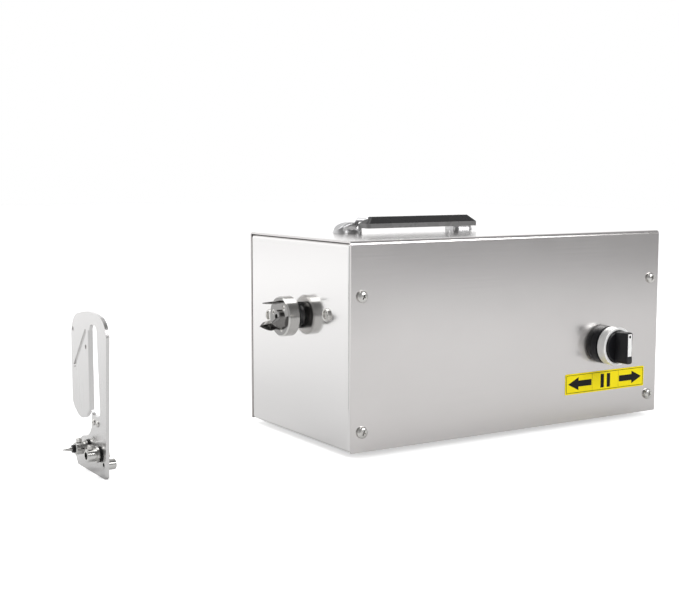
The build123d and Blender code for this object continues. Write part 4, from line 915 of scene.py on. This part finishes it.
@dataclass
class Selector(Dressed):
    """The selector switch's knob: a dished disc with a waisted finger bar."""

    disc_radius: float = 12.6 * MM
    disc_low: float = 7.9 * MM
    disc_high: float = 16.0 * MM
    bar_high: float = 27.5 * MM
    bar_width: float = 5.6 * MM
    bar_foot: float = 9.0 * MM
    bar_length: float = 25.0 * MM
    bar_side: float = 0.94
    bar_end: float = 0.55
    waist: float = 0.3 * MM
    inlay_width: float = 4.1 * MM
    inlay_top: float = 11.45 * MM
    inlay_bottom: float = -6.45 * MM
    inlay_depth: float = 0.6 * MM
    shaft_radius: float = 5.0 * MM
    shaft_length: float = 20.0 * MM
    edge: float = 0.7 * MM
    dot_radius: float = 1.1 * MM
    dot_up: float = 9.2 * MM

    def bar_outline(self) -> list[Point]:
        """Returns the finger bar's outline, waisted in the middle and narrower at its ends."""
        half = self.bar_width / 2
        end = self.bar_length / 2
        reach = end * self.bar_side
        outline = []
        steps = 14
        for side in (1, -1):
            for step in range(steps + 1):
                height = side * (-reach + 2 * reach * step / steps)
                inward = self.waist * math.cos(height / end * math.pi / 2) ** 2
                outline.append((side * (half - inward), height))
            outline.append((side * half * self.bar_end, side * end))
            outline.append((-side * half * self.bar_end, side * end))
        return outline

    def build(self) -> None:
        """Builds the knob and the dot on its inlay."""
        low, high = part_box("selector_collar")
        cover_low, _cover_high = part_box("cover")
        place = ((low.x + high.x) / 2, cover_low.y, (low.z + high.z) / 2)
        edge = self.edge
        dish = lathe([
            (self.shaft_radius, self.disc_low - self.shaft_length),
            (self.shaft_radius, self.disc_low),
            (self.disc_radius, self.disc_low),
            (self.disc_radius, self.disc_high - edge),
            (self.disc_radius - edge * 0.3, self.disc_high - edge * 0.3),
            (self.disc_radius - edge, self.disc_high),
            (self.disc_radius - 2 * edge, self.disc_high - edge * 0.4),
            (0.0, self.disc_high - edge * 0.4),
        ], segments=96)
        bar = prism(self.bar_outline(), self.disc_high - 2 * edge, self.bar_high, edge)
        groove_middle = (0.0, (self.inlay_top + self.inlay_bottom) / 2)
        groove = prism(
            rectangle(self.inlay_width, self.inlay_top - self.inlay_bottom, groove_middle),
            self.bar_high - self.inlay_depth, self.bar_high + edge,
        )
        bar = cut(bar, groove)
        for point in bar.points:
            share = (self.bar_high - point.z) / (self.bar_high - self.disc_high)
            point.x *= 1 + (self.bar_foot / self.bar_width - 1) * min(max(share, 0.0), 1.0)
        knob = dish.plus(bar).moved(Facing.FRONT.at(place))
        piece = knob.object("knob_grip", BLACK_PLASTIC, smooth_degrees=40.0)
        self.keep(piece, "selector", "black_plastic", "selector_knob")
        dot = lathe([
            (self.dot_radius, -0.1 * MM),
            (self.dot_radius, 0.0),
            (self.dot_radius - 0.2 * MM, 0.0),
            (0.0, 0.0),
        ], segments=24)
        dot_place = (place[0], place[1] - self.bar_high - 0.01 * MM, place[2] + self.dot_up)
        dot_piece = dot.moved(Facing.FRONT.at(dot_place)).object("knob_dot", BLACK_INK)
        self.keep(dot_piece, "selector", "black_plastic")


@dataclass
class DirectionLabel(Dressed):
    """The printed symbols on the direction label: a left arrow, a pause sign and a right arrow."""

    border_inset: float = 1.2 * MM
    line: float = 0.4 * MM
    divider_offset: float = 14.3 * MM
    divider_line: float = 0.15 * MM
    ink: float = 0.03 * MM
    arrow_middle: float = 27.6 * MM
    arrow_length: float = 25.0 * MM
    arrow_height: float = 10.4 * MM
    head_length: float = 11.0 * MM
    shaft_height: float = 4.9 * MM
    bar_width: float = 3.7 * MM
    bar_height: float = 11.2 * MM
    bar_offset: float = 3.4 * MM

    def arrow(self, hand: int) -> list[Point]:
        """Returns an arrow's outline; hand is -1 for one that points left and 1 for right."""
        tip = self.arrow_length / 2
        neck = tip - self.head_length
        shaft = self.shaft_height / 2
        barb = self.arrow_height / 2
        points = [
            (-tip, -shaft), (neck, -shaft), (neck, -barb), (tip, 0.0),
            (neck, barb), (neck, shaft), (-tip, shaft),
        ]
        points = [(hand * (x + self.arrow_middle), y) for x, y in points]
        return points if hand > 0 else points[::-1]

    def build(self) -> None:
        """Builds the symbols as thin raised ink."""
        low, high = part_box("direction_label")
        place = ((low.x + high.x) / 2, low.y, (low.z + high.z) / 2)
        width = high.x - low.x - 2 * self.border_inset
        height = high.z - low.z - 2 * self.border_inset
        outlines = [self.arrow(-1), self.arrow(1)]
        for side in (-1, 1):
            outlines.append(rectangle(self.bar_width, self.bar_height, (side * self.bar_offset, 0.0)))
            outlines.append(rectangle(width, self.line, (0.0, side * height / 2)))
            outlines.append(rectangle(self.line, height, (side * width / 2, 0.0)))
            outlines.append(rectangle(self.divider_line, height, (side * self.divider_offset, 0.0)))
        symbols = joined(prism(outline, 0.0, self.ink) for outline in outlines)
        piece = symbols.moved(Facing.FRONT.at(place)).object("label_symbols", BLACK_INK)
        self.keep(piece, "machine", "label_yellow")


@dataclass
class Knife(Dressed):
    """The separate knife's small hardware: socket cap screws on its sleeves and its two small screws."""

    cap: Screw = Screw(
        1.9 * MM, 2.6 * MM, 1.3 * MM, 1.8 * MM, 1.1 * MM, sides=6, domed=False, pitch=0.45 * MM,
    )
    small: Screw = Screw(2.1 * MM, 1.1 * MM, 1.1 * MM, 2.4 * MM, 1.2 * MM, pitch=0.45 * MM)
    front_inset: float = 4.0 * MM
    cap_spots: tuple[Point, ...] = ((13.1 * MM, 19.4 * MM), (35.2 * MM, 20.0 * MM))
    small_spots: tuple[Point, ...] = ((14.5 * MM, 35.3 * MM), (22.0 * MM, 35.3 * MM))

    def place_all(self, node: str, screw: Screw, facing: Facing, spots: list[Vector], name: str) -> None:
        """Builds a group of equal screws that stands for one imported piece."""
        shape = screw.shape()
        copies = [shape.moved(facing.at(spot)) for spot in spots]
        piece = joined(copies).object(name, SCREW_STEEL)
        self.keep(piece, "knife", "fastener_steel", node)

    def build(self) -> None:
        """Builds the knife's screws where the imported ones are."""
        low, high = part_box("cap_screws")
        middle_x = (low.x + high.x) / 2
        plate_low, _plate_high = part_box("knife_plate")
        front = plate_low.y + self.front_inset
        caps = [Vector((middle_x, front + y, z)) for y, z in self.cap_spots]
        self.place_all("cap_screws", self.cap, Facing.UP, caps, "socket_cap_screws")
        smalls = [Vector((plate_low.x, front + y, z)) for y, z in self.small_spots]
        self.place_all("knife_small_screws", self.small, Facing.LEFT, smalls, "small_screw_heads")


# ------------------------------------------------------------------ studio


@dataclass(frozen=True)
class Lamp:
    """A soft square lamp: its name, where it hangs, what it points at, its side in metres and its power."""

    name: str
    place: Place
    towards: Place
    side: float
    watts: float

    def build(self) -> None:
        """Hangs the lamp."""
        data = bpy.data.lights.new(self.name, "AREA")
        data.size = self.side
        data.energy = self.watts
        lamp = bpy.data.objects.new(self.name, data)
        bpy.context.scene.collection.objects.link(lamp)
        lamp.location = self.place
        lamp.rotation_mode = "QUATERNION"
        aim = Vector(self.towards) - Vector(self.place)
        lamp.rotation_quaternion = aim.to_track_quat("-Z", "Y")


@dataclass
class Studio:
    """A pale table in a white room that is dimmer in front, with the camera at the photograph's place."""

    camera_place: Place = (-502.38 * MM, -759.71 * MM, 202.54 * MM)
    yaw_degrees: float = 31.866
    pitch_degrees: float = 6.1
    lens_mm: float = 63.42
    sensor_mm: float = 36.0
    clip_start: float = 10.0 * MM
    room_behind: float = 1.35
    room_front: float = 0.42
    room_above: float = 0.45
    floor_colour: Colour = (0.86, 0.86, 0.86)
    floor_front: Colour = (0.42, 0.42, 0.43)
    floor_glow: float = 0.55
    back_glow: float = 0.62
    # Where each fade starts and ends: the first two by direction, the others in metres from the object.
    depth_fade: Point = (-0.6, 0.5)
    height_fade: Point = (0.2, 0.8)
    front_fade: Point = (-1.5, -0.5)
    back_fade: Point = (0.0, 1.3)
    floor_side: float = 4.0
    floor_near: float = -2.2
    floor_far: float = 6.0
    lamps: tuple[Lamp, ...] = (
        Lamp("over_lamp", (-0.5, 0.3, 1.6), (0.0, 0.0, 0.05), side=1.2, watts=12.0),
        Lamp("front_lamp", (0.9, -1.4, 0.95), (0.0, 0.0, 0.08), side=0.9, watts=15.0),
    )

    def camera(self) -> None:
        """Puts the camera where the photograph was taken from."""
        data = bpy.data.cameras.new("camera")
        data.lens = self.lens_mm
        data.sensor_width = self.sensor_mm
        data.clip_start = self.clip_start
        camera = bpy.data.objects.new("camera", data)
        bpy.context.scene.collection.objects.link(camera)
        yaw = math.radians(self.yaw_degrees)
        pitch = math.radians(self.pitch_degrees)
        forward = Vector((
            math.sin(yaw) * math.cos(pitch), math.cos(yaw) * math.cos(pitch), -math.sin(pitch),
        ))
        camera.location = self.camera_place
        camera.rotation_mode = "QUATERNION"
        camera.rotation_quaternion = forward.to_track_quat("-Z", "Y")
        bpy.context.scene.camera = camera

    def room(self) -> None:
        """Lights the scene from a white room that is dimmer towards the front and high up."""
        world = bpy.data.worlds.new("room")
        graph = ShaderGraph(world)
        place = graph.place("Generated")
        level = (self.room_front, self.room_behind)
        fade = graph.remap(place.outputs["Y"], *self.depth_fade, *level, curve="SMOOTHSTEP")
        height = graph.remap(place.outputs["Z"], *self.height_fade, 1.0, self.room_above, curve="SMOOTHSTEP")
        dimmed = graph.add("Math", {0: fade, 1: height}, operation="MULTIPLY")
        light = graph.add("Background", {"Color": WHITE, "Strength": dimmed.outputs[0]})
        seen = graph.add("Background", {"Color": WHITE, "Strength": 1.0})
        ray = graph.add("LightPath").outputs["Is Camera Ray"]
        both = graph.add("MixShader", {0: ray, 1: light.outputs[0], 2: seen.outputs[0]})
        graph.add("OutputWorld", {"Surface": both.outputs[0]})
        bpy.context.scene.world = world

    def floor_finish(self) -> bpy.types.Material:
        """The table's white: darker in front, lit from itself behind, and pale to the camera."""
        graph = ShaderGraph.named("table_white")
        patch = graph.noise((3.0, 3.0, 3.0), detail=2.0)
        tone = graph.mix(patch, rgba(self.floor_colour, 0.99), rgba(self.floor_colour, 1.01))
        depth = graph.place().outputs["Y"]
        in_front = graph.remap(depth, *self.front_fade, 1.0, 0.0)
        tone = graph.mix(in_front, tone, rgba(self.floor_front))
        given = {"Base Color": tone, "Roughness": 0.6, "Specular IOR Level": 0.2}
        shader = graph.add("BsdfPrincipled", given)
        behind = graph.remap(depth, *self.back_fade, 0.0, self.back_glow)
        seen = graph.add("LightPath").outputs["Is Camera Ray"]
        given = {MIX_SHARE: seen, NUMBER_FIRST: behind, NUMBER_SECOND: self.floor_glow}
        strength = graph.add("Mix", given, data_type="FLOAT").outputs[NUMBER_RESULT]
        glow = graph.add("Emission", {"Strength": strength})
        both = graph.add("AddShader", {0: shader.outputs[0], 1: glow.outputs[0]})
        graph.add("OutputMaterial", {"Surface": both.outputs[0]})
        return graph.owner

    def floor(self) -> None:
        """Lays the pale table that the object stands on."""
        middle = (0.0, (self.floor_near + self.floor_far) / 2)
        outline = rectangle(2 * self.floor_side, self.floor_far - self.floor_near, middle)
        mesh = bpy.data.meshes.new("table_top")
        mesh.from_pydata([(x, y, 0.0) for x, y in outline], [], [tuple(range(len(outline)))])
        mesh.materials.append(self.floor_finish())
        table = bpy.data.objects.new("table_top", mesh)
        bpy.context.scene.collection.objects.link(table)
        table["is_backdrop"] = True

    def build(self) -> None:
        """Sets the camera, the room, the table and the lamps."""
        self.camera()
        self.room()
        self.floor()
        for lamp in self.lamps:
            lamp.build()
        bpy.context.scene.view_settings.view_transform = "Standard"


def corners() -> list[list[float]]:
    """The shown object's lowest and highest corner as plain numbers."""
    return [[float(value) for value in corner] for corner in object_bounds()]


def main() -> None:
    """Builds the sub-assemblies in order and reports each piece."""
    logging.basicConfig(level=logging.INFO, format="%(message)s")
    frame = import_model()
    Packed(frame).build()
    builders: list[Callable[[], None]] = [
        Case().build, Chuck().build, Selector().build, DirectionLabel().build, Knife().build, Studio().build,
    ]
    for build in builders:
        build()


if __name__ == "__main__":
    main()
